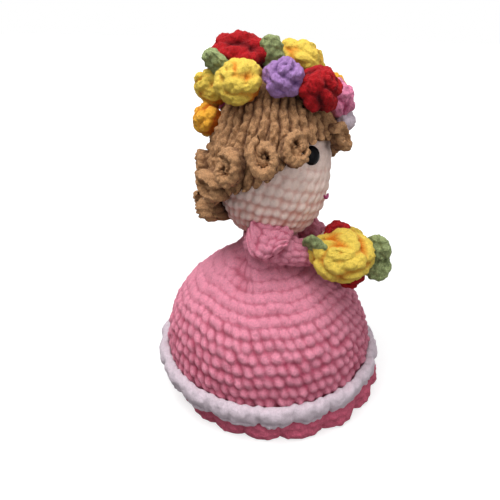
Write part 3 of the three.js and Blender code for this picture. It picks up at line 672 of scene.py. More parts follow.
def knit_trim():
    angle, across = net(once_around(TRIM_COLUMNS), once_around(TRIM_ROWS))
    height, front = np.sin(across), np.cos(across)
    down, up = np.clip(-height, 0, 1), np.clip(height, 0, 1)
    wander = angle + waver(angle, TRIM_WANDER)
    shell = np.abs(np.cos(wander * TRIM_SCALLOPS / 2)) ** SHELL_ROUNDNESS * (1 + waver(angle, TRIM_UNEVEN))
    z = TRIM_MIDDLE_Z + hem_rise(angle) + TRIM_HALF_HEIGHT * rounded(height, 0.85)
    z += EDGE_WAVE * np.cos(angle * EDGE_STITCHES) * up - TRIM_LOBE * (shell - SHELL_MIDDLE) * down
    out = TRIM_DEPTH * (0.5 + 0.5 * rounded(front, 0.7)) * (0.74 + 0.30 * shell) - TRIM_SLOPE * up**2
    groove = np.exp(-(((height - GROOVE_PLACE) / GROOVE_HALF_WIDTH) ** 2)) * (front > 0)
    groove *= GROOVE_DEPTH * np.clip(shell * 1.5 - 0.3, 0, 1)
    pucker = PUCKER_DEPTH * np.cos(wander * TRIM_SCALLOPS * PUCKERS_IN_SHELL) * down * shell * (front > -0.2)
    grid = polar(outside_dress(z, angle) + out - groove + pucker, angle, z)
    hollow = groove + GAP_DEPTH * (1 - shell) * down
    grid = np.swapaxes(np.concatenate([grid, grid[:, :1]], axis=1), 0, 1)
    hollow = np.swapaxes(np.concatenate([hollow, hollow[:, :1]], axis=1), 0, 1)
    grid = pushed(grid, -pile(grid, TRIM_PILE))
    # painted shade in the groove and the gaps
    shade = np.clip(TRIM_LIGHT - TRIM_HOLLOW_SHADE * hollow, 0, 1)
    return build("trim_crochet", grid[::-1], shade[::-1])


trim = dress_up(knit_trim(), "skirt_trim")
print("trim points:", len(trim.data.vertices))

# %% Petticoat
PETTICOAT_OUTLINE = [
    (0.0, 1.0), (0.0, 0.5), (0.0, 0.0), (0.5, 0.0), (0.85, 0.02), (0.97, 0.10),
    (1.0, 0.22), (0.93, 0.5), (0.7, 0.9), (0.4, 1.0), (0.0, 1.0),
]
PETTICOAT_COLUMNS = 594
PETTICOAT_ROW_SPACING = 0.8
PETTICOAT_TOP = 19.0
PETTICOAT_THICK = 8.5
PETTICOAT_WAVE = 2.2
PETTICOAT_SWAY = 5.8
PETTICOAT_TURN = math.radians(276)
PETTICOAT_WANDER = [(0.04, 4, 0)]
PETTICOAT_SCALLOP_START = 0.7
PETTICOAT_STITCHES = 66
PETTICOAT_ROUND = 6.5
PETTICOAT_RISE = 1.3
PETTICOAT_PILE = [(7.0, 0.5, 23), (3.4, 0.2, 22)]
SOLE_HEIGHT = 2.0
WIDE_FIRST_COLUMN = 500


def knit_petticoat():
    outline = np.array(PETTICOAT_OUTLINE) * [PETTICOAT_THICK, PETTICOAT_TOP]
    line, length = even_steps(outline, PETTICOAT_ROW_SPACING)
    share, angle = net(line[:, 0] / PETTICOAT_THICK, once_around(PETTICOAT_COLUMNS))
    thick = PETTICOAT_THICK + PETTICOAT_SWAY * np.cos(angle - PETTICOAT_TURN)
    z = line[:, 1][:, None] * (PETTICOAT_TOP + hem_rise(angle)) / PETTICOAT_TOP
    scallop = (angle + waver(angle, PETTICOAT_WANDER)) * TRIM_SCALLOPS / 2 + PETTICOAT_SCALLOP_START
    lobe = np.abs(np.cos(scallop)) ** 0.7 - SHELL_MIDDLE
    wave = 2 * PETTICOAT_WAVE * lobe * share * (1.1 - z / PETTICOAT_TOP) * thick / PETTICOAT_THICK
    grid = polar(outside_dress(z, angle) + share * thick + wave, angle, z)
    u = count_round(-angle, PETTICOAT_STITCHES, WIDE_FIRST_COLUMN)
    v = length[:, None] / PETTICOAT_ROUND
    bumps = stitches(u, v, FLAT_CROCHET, PETTICOAT_STITCHES, 21, drift=0.3)
    free = np.clip(share * 2, 0, 1) * np.clip(z / SOLE_HEIGHT, 0, 1)
    move = ((bumps - 0.8) * PETTICOAT_RISE + pile(grid, PETTICOAT_PILE)) * free
    grid = pushed(grid, move)
    grid[..., 2] = np.maximum(grid[..., 2], 0.0)
    # painted shade in the creases between stitches
    return build("petticoat_crochet", grid, 0.25 + 0.75 * bumps)


petticoat = dress_up(knit_petticoat(), "petticoat")
print("petticoat points:", len(petticoat.data.vertices))

# %% Base
BASE_COLUMNS = 192
BASE_RINGS = 40
BASE_HEART = 0.4
BASE_STITCHES = 48
BASE_ROUND = 7.8
BASE_RISE = 0.9


def knit_base():
    radius, _, top = box_mm("base_disc")[1]
    rings = np.linspace(BASE_HEART, radius, BASE_RINGS)
    r, angle = net(rings, once_around(BASE_COLUMNS))
    u = count_round(angle, BASE_STITCHES, WIDE_FIRST_COLUMN)
    bumps = stitches(u, r / BASE_ROUND, SINGLE_CROCHET, BASE_STITCHES, 31, drift=0.3)
    under = polar(r, angle, BASE_RISE * (1 - bumps))
    over = under[::-1] * [1, 1, 0] + [0, 0, top]
    height = np.concatenate([bumps, bumps[::-1]])
    return build("base_crochet", np.concatenate([under, over]), height, caps=(True, True))


base = dress_up(knit_base(), "base_disc")
print("base points:", len(base.data.vertices))

# %% [markdown]
# The head
#
# The head is an egg with a fuller jaw, leaning towards the doll's left shoulder.
# Its rounds tip down a little towards the face, as the photograph shows, and its
# stitches are flatter than the skirt's because the skin yarn is packed tight.

# %% Head form
LEAN = np.array(Matrix.Rotation(math.radians(HEAD_LEAN), 3, "Y"))
HEAD_CENTRE = LEAN @ np.array([0, 0, HEAD_ABOVE_NECK]) + np.array([0, 0, NECK_Z])
MERIDIAN_POINTS = 1200


def head_points(turn, rise, step=0.0):
    """Points of the head in the doll's frame; turn grows towards the doll's right."""
    power = 2 / np.where(rise < 0, JAW_FULLNESS, CROWN_FULLNESS)
    flat = (HEAD_RADIUS + step) * np.maximum(0, np.cos(rise)) ** power
    reach = np.where(rise < 0, HEAD_CHIN_DROP, HEAD_TOP_RISE) + step
    height = reach * rounded(np.sin(rise), power)
    local = np.stack([-flat * np.sin(turn), -flat * np.cos(turn), height], -1)
    return local @ LEAN.T + HEAD_CENTRE


def meridian(low, high, spacing):
    """Rises down one side of the head, an even spacing apart, and the length up to each."""
    rises = np.linspace(high, low, MERIDIAN_POINTS)
    line = head_points(np.zeros_like(rises), rises)
    lengths = np.append(0, np.cumsum(np.linalg.norm(np.diff(line, axis=0), axis=1)))
    wanted = np.linspace(0, lengths[-1], int(lengths[-1] / spacing))
    return np.interp(wanted, lengths, rises), wanted


# %% Head mesh
FACE_ROUND = 8.4
FACE_STITCHES = 38
POINTS_IN_STITCH = 8
FACE_ROW_SPACING = 1.15
FACE_POLE_GAP = 0.03
FACE_RISE = 2.3
FACE_TIP = 0.16
FACE_WAVER = [(0.07, 5, 1), (0.05, 11, 0)]
FACE_RELIEF = [(-60, 1.0), (-20, 0.8), (10, 0.4)]
FACE_PILE = [(3.4, 0.12, 42), (9.0, 0.30, 43)]
# painted shade: the face darkens and reddens towards the chin, away from the light
FACE_SHADE_BY_RISE = [(-60, 0.5), (-25, 0.75), (5, 1.0)]


def knit_head():
    rises, length = meridian(-math.pi / 2 + FACE_POLE_GAP, math.pi / 2 - FACE_POLE_GAP, FACE_ROW_SPACING)
    rise, turn = net(rises, once_around(FACE_STITCHES * POINTS_IN_STITCH))
    form = head_points(turn, rise)
    u = count_round(turn, FACE_STITCHES, WIDE_FIRST_COLUMN)
    v = (length[:, None] + FACE_TIP * form[..., 1]) / FACE_ROUND + waver(turn, FACE_WAVER)
    bumps = stitches(u, v, FACE_STITCH, FACE_STITCHES, 41, drift=0.5, slip=0.15)
    degrees = np.degrees(rise)
    relief = np.clip(np.cos(rise) * 3, 0, 1) * np.interp(degrees, *zip(*FACE_RELIEF))
    push = (bumps - 0.75) * FACE_RISE * relief + pile(form, FACE_PILE)
    points = pushed(form, -push)
    # painted shade, darker towards the chin
    shade = shaded(bumps, relief) * np.interp(degrees, *zip(*FACE_SHADE_BY_RISE))
    return build("head_crochet", points[:, ::-1], shade[:, ::-1], caps=(True, True))


head = dress_up(knit_head(), "head_skin", "head_stuffing")
print("head points:", len(head.data.vertices))

# %% [markdown]
# The wig
#
# The wig is a cap of vertical ribs that run together at the crown of the head.
# Each rib is a row of stitches on its side, so the grooves between ribs are deep
# and the creases along a rib are shallow. Its edge folds under, which gives it
# the thickness of the yarn.

# %% Wig
WIG_RIBS = 40
POINTS_IN_RIB = 12
WIG_ROWS = 140
WIG_THICK = 8.3
WIG_RISE = 5.0
WIG_LOBE = 7.0
HAIRLINE = [(0, 22), (0.2, 21), (0.32, 10), (0.45, -3), (0.6, -11), (0.8, -24), (1, -29)]
TUFT_DROP = 3.0
TUFT_ROUNDNESS = 0.7
RIB_SWAY = 0.14
RIB_SWAYS = 1.3
RIB_ROUNDNESS = 0.45
CORD_SHARE = 0.36
WIG_PILE = [(2.6, 0.3, 57), (4.0, 0.3, 52), (9.0, 0.5, 54)]
EDGE_ROWS = 8
EDGE_TUCK = 0.06
WIG_INSIDE = 0.3
INSIDE_ROWS = (0.15, 0.4, 0.7, 1.0)


def wig_edge(angle, edge):
    """Rows that fold the wig's edge under, and rows of its lining up to the crown."""
    rows = []
    for k in np.linspace(0, 1, EDGE_ROWS)[1:]:
        row = head_points(angle, edge + EDGE_TUCK * k, WIG_THICK * (1 - k) + WIG_INSIDE)
        rows.append(row - [0, 0, math.sin(math.pi * k) * 1.2])
    for k in INSIDE_ROWS:
        rows.append(head_points(angle, edge + (math.pi / 2 - 0.2 - edge) * k, WIG_INSIDE))
    return np.array(rows)


def knit_wig():
    angle = once_around(WIG_RIBS * POINTS_IN_RIB)
    part, turn = net(np.linspace(0.995, 0, WIG_ROWS), angle)
    from_front = np.where(turn > math.pi, FULL_TURN - turn, turn) / math.pi
    rib = count_round(turn, WIG_RIBS, 0)
    tuft = np.abs(np.sin(rib * math.pi)) ** TUFT_ROUNDNESS
    low = np.radians(follow(HAIRLINE, from_front) - TUFT_DROP * tuft)
    rise = low + (math.pi / 2 - low) * part
    form = head_points(turn, rise, WIG_THICK)
    drop = (math.pi / 2 - rise) * HEAD_TOP_RISE / WIG_LOBE
    wavy = rib + RIB_SWAY * np.sin(drop * RIB_SWAYS + 3.1 * jitter(np.floor(rib), 0 * rib, 55))
    cord = np.abs(np.sin(np.mod(wavy, 1) * math.pi)) ** RIB_ROUNDNESS
    v = drop + 0.6 * jitter(np.floor(wavy), 0 * rib, 53)
    lumps = stitches(wavy + WIDE_FIRST_COLUMN, v, RIB, WIG_RIBS, 51, wobble=0.22)
    bumps = cord * (CORD_SHARE + (1 - CORD_SHARE) * lumps)
    lift = (bumps - 0.7) * WIG_RISE * np.clip((1 - part) * 8, 0.3, 1)
    points = pushed(form, -lift - pile(form, WIG_PILE))
    hidden = wig_edge(angle, rise[-1])
    points = np.concatenate([points, hidden])
    # painted shade on the rows that fold under the edge
    bumps = np.concatenate([bumps, np.repeat(bumps[-1:] * 0.6, len(hidden), axis=0)])
    return build("wig_crochet", points[:, ::-1], bumps[:, ::-1], caps=(True, True))


wig = dress_up(knit_wig(), "wig_cap")
print("wig points:", len(wig.data.vertices))

# %% [markdown]
# Seats
#
# Curls, roses and leaves stand on the head or on the bouquet's pad. Each one
# takes its place, its direction and its size from its own node of the frame, so
# no table of places is repeated. Some are fuller than their nodes or stand a
# little off them, as soft pieces do, and one table says by how much.

# %% Seats
PAD_LOW, PAD_HIGH = box_mm("bouquet_pad")
PAD_CENTRE = (PAD_LOW + PAD_HIGH) / 2
PAD_HALF = (PAD_HIGH - PAD_LOW) / 2
BOUQUET_SET_BACK = np.array([0.0, 3.2, -1.2])
MOULD = {
    # how much fuller a piece is along x, y and z, and how far its middle moves
    "rose_red_top": ((1.22, 1.5, 1.1), (-1.0, 3.2, 0.2)),
    "rose_yellow_top": ((1.1, 1.45, 1.1), (-1.5, 5.0, -0.5)),
    "rose_yellow_right": ((1.1, 1.12, 1.05), (0, 0, -1.5)),
    "rose_purple_right": ((1.08, 1.08, 1.06), (0, 0, 0)),
    "rose_red_right": ((1.1, 1.12, 1.12), (0, 1.2, -1.2)),
    "rose_yellow_back": ((1.2, 1.25, 1.25), (0, 1.5, 0.5)),
    "rose_orange_back": ((1.25, 1.2, 1.28), (0, -4.5, 1.5)),
    "rose_pink_front": ((1.2, 1.3, 1.3), (0, 3.0, -1.5)),
    "rose_white_front": ((1.25, 1.3, 1.35), (0, 1.0, 0)),
    "bouquet_rose_yellow_right": ((1.1, 1.2, 0.96), (0, 0.6, -0.4)),
    "bouquet_rose_red_top": ((1.1, 1.1, 1.1), (0, -2.0, 3.5)),
    "bouquet_rose_red_low": ((1.1, 1.1, 1.1), (0, 4.0, 1.8)),
    "bouquet_rose_yellow_left": ((1.0, 0.98, 0.92), (0, 1.0, -3.5)),
    "leaf_crown_top": ((1, 1, 1), (-1.0, 6.0, 0)),
    "leaf_crown_back": ((1, 1.1, 1), (0, 3.5, 1.0)),
    "bouquet_leaf_side": ((1.6, 1.1, 0.85), (-10.5, 0.0, -3.4)),
    "bouquet_leaf_front_high": ((1, 1, 1), (0, 1.0, 4.0)),
    "bouquet_leaf_front_low": ((1, 1, 1), (0, 1.5, 3.5)),
    "curl_right_side": ((1.0, 1.0, 1.0), (0, -1.5, 1.5)),
    "curl_right_ear": ((1.08, 1.08, 1.0), (0, 0, 0)),
    "curl_right_temple": ((1.0, 1.0, 1.0), (0, 4.0, -3.5)),
    "curl_right_back_high": ((1.1, 1.1, 1.0), (0, -2.5, -3.5)),
    "curl_right_back_low": ((1.3, 1.6, 1.2), (-2.0, -8.0, 5.0)),
    "curl_nape_low": ((1.15, 1.7, 1.0), (-3.0, -8.0, 1.0)),
    "curl_brow": ((1.2, 1.2, 1.05), (0, 2.6, 0)),
}
ROSE_USUAL = ((1.1, 1.1, 1.1), (0, 0, 0))
AS_IT_IS = ((1, 1, 1), (0, 0, 0))


def seat(node):
    """The node's own frame: a matrix whose columns are side, up and out, its foot, and its size."""
    points = points_mm(node)
    middle = (points.min(axis=0) + points.max(axis=0)) / 2
    if node.startswith("bouquet"):
        out = (middle - PAD_CENTRE) / PAD_HALF**2
    else:
        local = LEAN.T @ (middle - HEAD_CENTRE)
        reach = HEAD_CHIN_DROP if local[2] < 0 else HEAD_TOP_RISE
        out = LEAN @ (local / np.array([HEAD_RADIUS, HEAD_RADIUS, reach]) ** 2)
    out /= np.linalg.norm(out)
    side = np.cross([0, 0, 1.0], out)
    side /= np.linalg.norm(side)
    up = np.cross(out, side)
    axes = np.stack([side, up, out], axis=1)
    local = (points - middle) @ axes
    foot = middle + out * local[:, 2].min()
    return axes, foot, local.max(axis=0) - local.min(axis=0)


def moulded(node, grid):
    """The grid made fuller about its middle and moved, as its node asks."""
    factors, shift = MOULD.get(node, ROSE_USUAL if "rose" in node else AS_IT_IS)
    middle = (grid.min(axis=(0, 1)) + grid.max(axis=(0, 1))) / 2
    moved = (grid - middle) * factors + middle + shift
    return moved + BOUQUET_SET_BACK if node.startswith("bouquet") else moved


print("red rose:", np.round(seat("rose_red_top")[2], 1), "mm")

# %% [markdown]
# Roses
#
# A crocheted rose is one long strip of fat petals rolled up from its heart and
# pressed into a ball, so only the rounded rims of the petals show, each one
# tucked under the next. A ball is wound with such rims here: fat crescents in
# rings from the heart to the foot, each tucked under the next. Over a point the
# tallest one counts for nearly all of the height. Modelling the whole strip would
# leave most of it hidden inside.

# %% Rose
# a ring of petals: its distance from the heart, its count, and a petal's half length and half width
SMALL_ROSE = [(0.27, 2, 0.48, 0.28), (0.88, 4, 0.66, 0.40), (1.54, 5, 0.66, 0.42)]
LARGE_ROSE = [(0.24, 2, 0.42, 0.24), (0.74, 4, 0.52, 0.32), (1.24, 5, 0.58, 0.34), (1.75, 6, 0.58, 0.36)]
LARGE_FROM = 16
PETAL_RISE = 0.24
PETAL_TUCK = 0.45
PETAL_STEEPNESS = 1.5
PETAL_JOIN = 5
ROSE_HEART, ROSE_FOOT = 0.03, 2.45
ROSE_CORE = 0.80
ROSE_TALLER = 1.04
ROSE_MIDDLE = 0.46
# painted shade: dark in the rose's heart and towards its foot
ROSE_SHADE = [(0.0, 0.6), (0.2, 1.0), (2.0, 0.9), (ROSE_FOOT, 0.5)]
ROSE_PILE = [(7.0, 0.5, 0), (3.6, 0.3, 1), (2.2, 0.16, 2)]


def petals_of(rings, seed):
    """Petals in rings: their distance from the heart, turn, half length, half width and height."""
    rng = np.random.default_rng(seed)
    petals = []
    for away, count, long, wide in rings:
        start = rng.uniform(0, FULL_TURN)
        for k in range(count):
            petals.append((
                away * rng.uniform(0.9, 1.12), start + FULL_TURN * (k + rng.uniform(-0.16, 0.16)) / count,
                long * rng.uniform(0.85, 1.15), wide * rng.uniform(0.85, 1.15), rng.uniform(0.82, 1.08),
            ))
    return petals


def wound(away, turned, petals):
    """The height of the petals over each point of a ball, soft where two of them meet."""
    total = np.zeros_like(away)
    for place, angle, long, wide, tall in petals:
        round_by = np.mod(turned - angle + math.pi, FULL_TURN) - math.pi
        along = round_by * np.sin(np.minimum(away, 1.57)) / long
        across = (away - place) / wide - PETAL_TUCK * along
        petal = np.exp(-((along**2 + across**2) ** PETAL_STEEPNESS))
        total += (tall * petal) ** PETAL_JOIN
    return total ** (1 / PETAL_JOIN)


def rose(node, seed):
    axes, foot, size = seat(node)
    radius = max(size[0], size[1]) / 2
    tall = size[2] * ROSE_TALLER
    columns = int(np.clip(radius * 9, 72, 132))
    rows = int(np.clip(radius * 5, 40, 72))
    away, turned = net(np.linspace(ROSE_HEART, ROSE_FOOT, rows), once_around(columns))
    height = wound(away, turned, petals_of(LARGE_ROSE if radius > LARGE_FROM else SMALL_ROSE, seed))
    core = ROSE_CORE + PETAL_RISE * height
    z = tall * ROSE_MIDDLE + tall * (1 - ROSE_MIDDLE) * core * np.cos(away)
    grid = moulded(node, polar(radius * core * np.sin(away), turned, z) @ axes.T + foot)
    grid = pushed(grid, pile(grid, ROSE_PILE, seed))
    # painted shade in the creases between petals, in the heart and at the foot
    shade = np.clip(height * 1.1 - 0.05, 0, 1) * np.interp(away, *zip(*ROSE_SHADE))
    return crocheted(node, grid, shade, ending="_petals")


ROSES = [n for n in frame["nodes"] if "rose_" in n]
for number, node in enumerate(sorted(ROSES)):
    rose(node, 100 + number * 11)
print("roses:", len(ROSES))

# %% [markdown]
# Curls
#
# A curl is the end of a hair rib, rolled up and sewn down on its side. Its band
# is one fat strip of yarn, thinner towards the middle, and it is swept along a
# spiral that is taller than it is wide.

# %% Curl
CURL_BAND = 5.8
CURL_ROLL = 1.65
CURL_WIDE = 1.24
CURL_LONG = 1.46
CURL_DEEP = 1.2
CURL_USUAL_HALF = 12.0
CURL_HEART = 0.8
CURL_DOME = [(0, 0.66), (0.3, 0.78), (0.6, 0.97), (1, 1.0)]
CURL_POINTS = 130
BAND_POINTS = 29
CURL_LOBE = 5.5
BAND_LOBES = 5
CURL_RISE = 1.5
CURL_RISE_LOW = {"curl_nape_low": 3.0, "curl_nape_high": 2.6}
CURL_PILE = [(7.0, 0.35, 9), (2.6, 0.25, 5)]


def flat_axes(flat):
    """The long and the short direction of points in a plane."""
    _, vectors = np.linalg.eigh(flat.T @ flat)
    long_axis = vectors[:, 1] * np.sign(vectors[1, 1] + TINY)
    return long_axis, np.array([long_axis[1], -long_axis[0]])


def curl(node, seed):
    axes, foot, size = seat(node)
    points = ((points_mm(node) - foot) @ axes)[:, :2]
    centre = (points.max(axis=0) + points.min(axis=0)) / 2
    flat = points - points.mean(axis=0)
    long_axis, across_axis = flat_axes(flat)
    half_long = np.ptp(flat @ long_axis) / 2 * CURL_LONG
    half_wide = np.ptp(flat @ across_axis) / 2 * CURL_WIDE
    scale = half_wide / CURL_USUAL_HALF
    hand = -1 if seed % 2 else 1
    depth = size[2] * CURL_DEEP
    s = np.linspace(0, 1, CURL_POINTS)[:, None]
    corner = np.linspace(0, FULL_TURN, BAND_POINTS)[None, :]
    band = scale * CURL_BAND * (0.86 + 0.2 * s)
    end = np.clip(np.minimum(s * 12 + 0.3, (1 - s) * 8 + 0.3), 0, 1) ** 0.5
    out = rounded(np.cos(corner), 0.9) * band / 2 * end
    up = rounded(np.sin(corner), 0.75) * 0.5 * end
    heart = scale * CURL_HEART
    edge = half_wide - scale * CURL_BAND / 2
    reach = heart + (edge - heart) * s * (1 + 0.06 * np.sin(s * 15 + seed) * np.clip(s * 3, 0, 1))
    dome = depth * np.interp(s, *zip(*CURL_DOME)) * (1 + 0.05 * np.sin(s * 19 + 2 * seed))
    z = dome * 0.5 + up * dome
    angle = hand * (s * CURL_ROLL * FULL_TURN + 1.9 * seed)
    x = (reach + out) * np.cos(angle)
    y = (reach + out) * np.sin(angle) * (half_long / half_wide)
    local = np.stack([
        x * across_axis[0] + y * long_axis[0] + centre[0],
        x * across_axis[1] + y * long_axis[1] + centre[1],
        z,
    ], -1)
    length = np.cumsum(np.append(0, np.linalg.norm(np.diff(local[:, 0], axis=0), axis=1)))
    u = length[:, None] / CURL_LOBE + FIRST_COLUMN
    bumps = stitches(u, count_round(corner, BAND_LOBES, FIRST_ROUND), KNOBBLE, 0, seed, wobble=0.16)
    grid = local @ axes.T + foot
    normal = grid_normals(grid, False) * hand
    grid = moulded(node, grid)
    push = (bumps - 0.7) * CURL_RISE_LOW.get(node, CURL_RISE) + pile(grid, CURL_PILE, seed)
    grid = np.swapaxes(grid + normal * push[..., None], 0, 1)
    # painted shade: darker between the lobes and down towards the curl's foot
    shade = np.swapaxes((0.45 + 0.55 * bumps) * np.clip(0.1 + 1.1 * z / depth, 0, 1), 0, 1)
    if hand < 0:
        grid, shade = grid[:, ::-1], shade[:, ::-1]
    return dress_up(build(node + "_roll", grid, shade, around=False), node)


CURLS = [n for n in frame["nodes"] if n.startswith("curl_")]
for number, node in enumerate(sorted(CURLS)):
    curl(node, 300 + number)
print("curls:", len(CURLS))

# %% [markdown]
# Leaves
#
# A leaf is a small cup of green stitches pressed flat, thicker in the middle and
# rounded at its tip. The leaf at the bouquet's side reaches out to the doll's
# right, and it is fuller and higher at that end.

# %% Leaf
# how much fuller a leaf is than its node along its width, thickness and length
LEAF_FULLER = {
    "bouquet_leaf_side": (1.4, 2.2, 0.9), "bouquet_leaf_front_high": (1.4, 1.5, 1.0),
    "bouquet_leaf_front_low": (1.4, 1.5, 1.0), "leaf_crown_back": (1.2, 1.7, 1.15),
    "leaf_crown_top": (1.0, 1.4, 0.95),
}
LEAF_USUAL = (1.1, 1.6, 0.98)
# how far a leaf rises for each step to the doll's right, and how much fuller it is at that end
LEAF_LEAN = {"bouquet_leaf_side": (0.9, 0.85)}
LEAF_ROUNDNESS = 0.7
LEAF_ROUND = 6.0
LEAF_STITCHES_PER_MM = 0.75
LEAF_FEWEST_STITCHES = 6
LEAF_RISE = 1.6
VEIN_HALF_WIDTH = 1.8
VEIN_DEPTH = 0.8
LEAF_PILE = [(5.0, 0.5, 0), (2.6, 0.2, 1)]


def leaf_axes(node, points, middle):
    """A leaf's width, thickness and length, the last one away from what it is sewn to."""
    _, vectors = np.linalg.eigh((points - middle).T @ (points - middle))
    wide, long_axis = vectors[:, 1], vectors[:, 2]
    centre = PAD_CENTRE if node.startswith("bouquet") else HEAD_CENTRE
    if np.dot(long_axis, middle - centre) < 0:
        long_axis = -long_axis
    return np.stack([wide, np.cross(wide, long_axis), long_axis], axis=1)


def leaned(node, grid):
    """The grid with its end at the doll's right raised and made fuller, as its node asks."""
    lean, full = LEAF_LEAN.get(node, (0, 0))
    heart = grid.mean(axis=(0, 1))
    rightward = heart[0] - grid[..., 0]
    swell = 1 + full * rightward / np.abs(rightward).max()
    grid[..., 1:] = heart[1:] + (grid[..., 1:] - heart[1:]) * swell[..., None]
    grid[..., 2] += lean * rightward
    return grid


def leaf(node, seed):
    points = points_mm(node)
    middle = points.mean(axis=0)
    axes = leaf_axes(node, points, middle)
    local = (points - middle) @ axes
    low, high = local.min(axis=0), local.max(axis=0)
    fuller = LEAF_FULLER.get(node, LEAF_USUAL)
    half = (high - low) / 2 * fuller
    rise, turn, _ = ball_grid(50, 72)
    flat = polar(np.cos(rise) ** LEAF_ROUNDNESS, turn, np.sin(rise)) * half
    flat += (low + high) / 2 + [0, 0, half[2] * (1 - 1 / fuller[2])]
    vein = np.exp(-((flat[..., 0] / VEIN_HALF_WIDTH) ** 2)) * np.clip(np.cos(rise) * 2, 0, 1)
    around = max(LEAF_FEWEST_STITCHES, int(half[0] * LEAF_STITCHES_PER_MM))
    v = np.sin(rise) * half[2] / LEAF_ROUND + FIRST_ROUND
    bumps = stitches(count_round(turn, around), v, KNOBBLE, around, seed)
    fade = np.clip(np.cos(rise) * 1.6, 0, 1)
    grid = leaned(node, moulded(node, flat @ axes.T + middle))
    push = ((bumps - 0.75) * LEAF_RISE - vein * VEIN_DEPTH) * fade + pile(grid, LEAF_PILE, seed)
    grid = pushed(grid, -push)
    # painted shade in the creases and along the vein
    shade = 1 - (1 - bumps * (1 - 0.3 * vein)) * fade * 0.8
    return crocheted(node, grid, shade, turned=True)


LEAVES = [n for n in frame["nodes"] if "leaf" in n]
for number, node in enumerate(sorted(LEAVES)):
    leaf(node, 400 + number)
print("leaves:", len(LEAVES))

# %% Bouquet pad
def knit_ball(node, lobes, seed, rows, columns, count, rounds, rise):
    """A ball of stitches that fills a node's box."""
    low, high = box_mm(node)
    tilt, turn, unit = ball_grid(rows, columns)
    bumps = stitches(count_round(turn, count), tilt / math.pi * rounds + FIRST_ROUND, lobes, count, seed)
    grid = unit * ((high - low) / 2 - rise + bumps[..., None] * rise) + (low + high) / 2
    return crocheted(node, grid, bumps)


pad = knit_ball("bouquet_pad", SINGLE_CROCHET, 61, rows=60, columns=120, count=18, rounds=7, rise=1.0)
print("pad points:", len(pad.data.vertices))

# %% [markdown]
# Arms
#
# An arm is a short stuffed tube that runs forward from the shoulder, with a
# small hand at its end and a flap of crochet over its top.

# %% Arm form
SIDES = ((-1, "right"), (1, "left"))
SHOULDER_X = 26.0
SHOULDER_Z = 136.0
ARM_REACH = 38.0
ARM_DROP = 8.0
ARM_RADIUS = 11.5
WRIST_X = 15.0
ARM_INWARD = [(0, 0), (0.35, -0.1), (0.7, 0.35), (1, 1)]
ARM_FALL = [(0, 0), (0.35, 0.1), (0.7, 0.55), (1, 1)]
SMALL_STEP = 0.01


def arm_point(side, share):
    inside = np.clip(share, 0, 1)
    x = SHOULDER_X + (WRIST_X - SHOULDER_X) * follow(ARM_INWARD, inside)
    z = SHOULDER_Z - ARM_DROP * follow(ARM_FALL, inside)
    return np.array([side * float(x), -ARM_REACH * share, float(z)])


def arm_axes(side, share):
    inside = min(max(share, 0.0), 1.0)
    ahead = arm_point(side, inside + SMALL_STEP) - arm_point(side, inside - SMALL_STEP)
    ahead /= np.linalg.norm(ahead)
    across = np.cross([0, 0, 1.0], ahead)
    across /= np.linalg.norm(across)
    return ahead, across, np.cross(ahead, across)


# %% Sleeves
SLEEVE = [(-0.3, 0.35), (-0.22, 0.72), (-0.1, 0.93), (0.1, 1), (0.5, 1), (0.85, 0.9), (1, 0.82), (1.04, 0.5)]
SLEEVE_FROM, SLEEVE_TO = -0.3, 1.05
SLEEVE_RINGS = 70
SLEEVE_COLUMNS = 112
SLEEVE_STITCHES = 12
SLEEVE_ROUND = 5.8
SLEEVE_RISE = 1.7
SLEEVE_PILE = [(7.0, 0.4, 72)]
# how much the painted crease shade is lifted on sleeves and frills
SLEEVE_LIGHT = 0.12


def knit_sleeve(side, name):
    shares = np.linspace(SLEEVE_FROM, SLEEVE_TO, SLEEVE_RINGS)
    turns = once_around(SLEEVE_COLUMNS)
    rings = []
    for share in shares:
        inside = min(max(share, 0.0), 1.0)
        ahead, across, up = arm_axes(side, inside)
        radius = ARM_RADIUS * float(follow(SLEEVE, np.array(share)))
        middle = arm_point(side, inside) + ahead * (share - inside) * ARM_REACH
        rings.append(middle + radius * (np.cos(turns)[:, None] * across + np.sin(turns)[:, None] * up))
    grid = np.array(rings)
    v = (shares * ARM_REACH / SLEEVE_ROUND + FIRST_ROUND)[:, None]
    bumps = stitches(count_round(turns, SLEEVE_STITCHES)[None, :], v, KNOBBLE, SLEEVE_STITCHES,
                     71 if side > 0 else 77, drift=0.3, wobble=0.2)
    push = (bumps - 0.75) * SLEEVE_RISE + pile(grid, SLEEVE_PILE)
    grid = pushed(grid, -push)
    # painted shade in the creases, kept light
    height = SLEEVE_LIGHT + (1 - SLEEVE_LIGHT) * bumps
    return crocheted(name, grid, height, turned=True)


# %% Sleeves and hands in place
for side, word in SIDES:
    knit_sleeve(side, word + "_sleeve")
    knit_ball(word + "_hand", FACE_STITCH, 81, rows=36, columns=60, count=9, rounds=4, rise=0.8)
print("sleeves and hands:", 2 * len(SIDES))

# %% [markdown]
# Frills
#
# The flap over the top of each sleeve is a thick strip of crochet that lies round
# the arm. It starts behind the shoulder, flares away from the sleeve there, and
# closes on it towards the hand.

# %% Frills
FRILL_BACK = 5.0
FRILL_REACH = 26.0
FRILL_THICK = 6.8
FRILL_FLARE = 5.0
FRILL_WAVE = 1.6
FRILL_WAVES = 3
FRILL_FROM = -40.0
FRILL_TO = 105.0
FRILL_RISE = 2.2
FRILL_ROWS = 64
FRILL_COLUMNS = 90
FRILL_STITCHES = 8
FRILL_OVERLAP = 1.0
FLARE = [(0, 1), (0.25, 0.6), (0.5, 0.15), (0.7, 0), (1, 0)]
FRILL_DROP = [(0, 0.45), (0.25, 1), (0.6, 1), (1, 0.5)]
FRILL_PILE = [(8.0, 0.7, 93)]
# painted shade under the flap
FRILL_UNDER_SHADE = 0.6


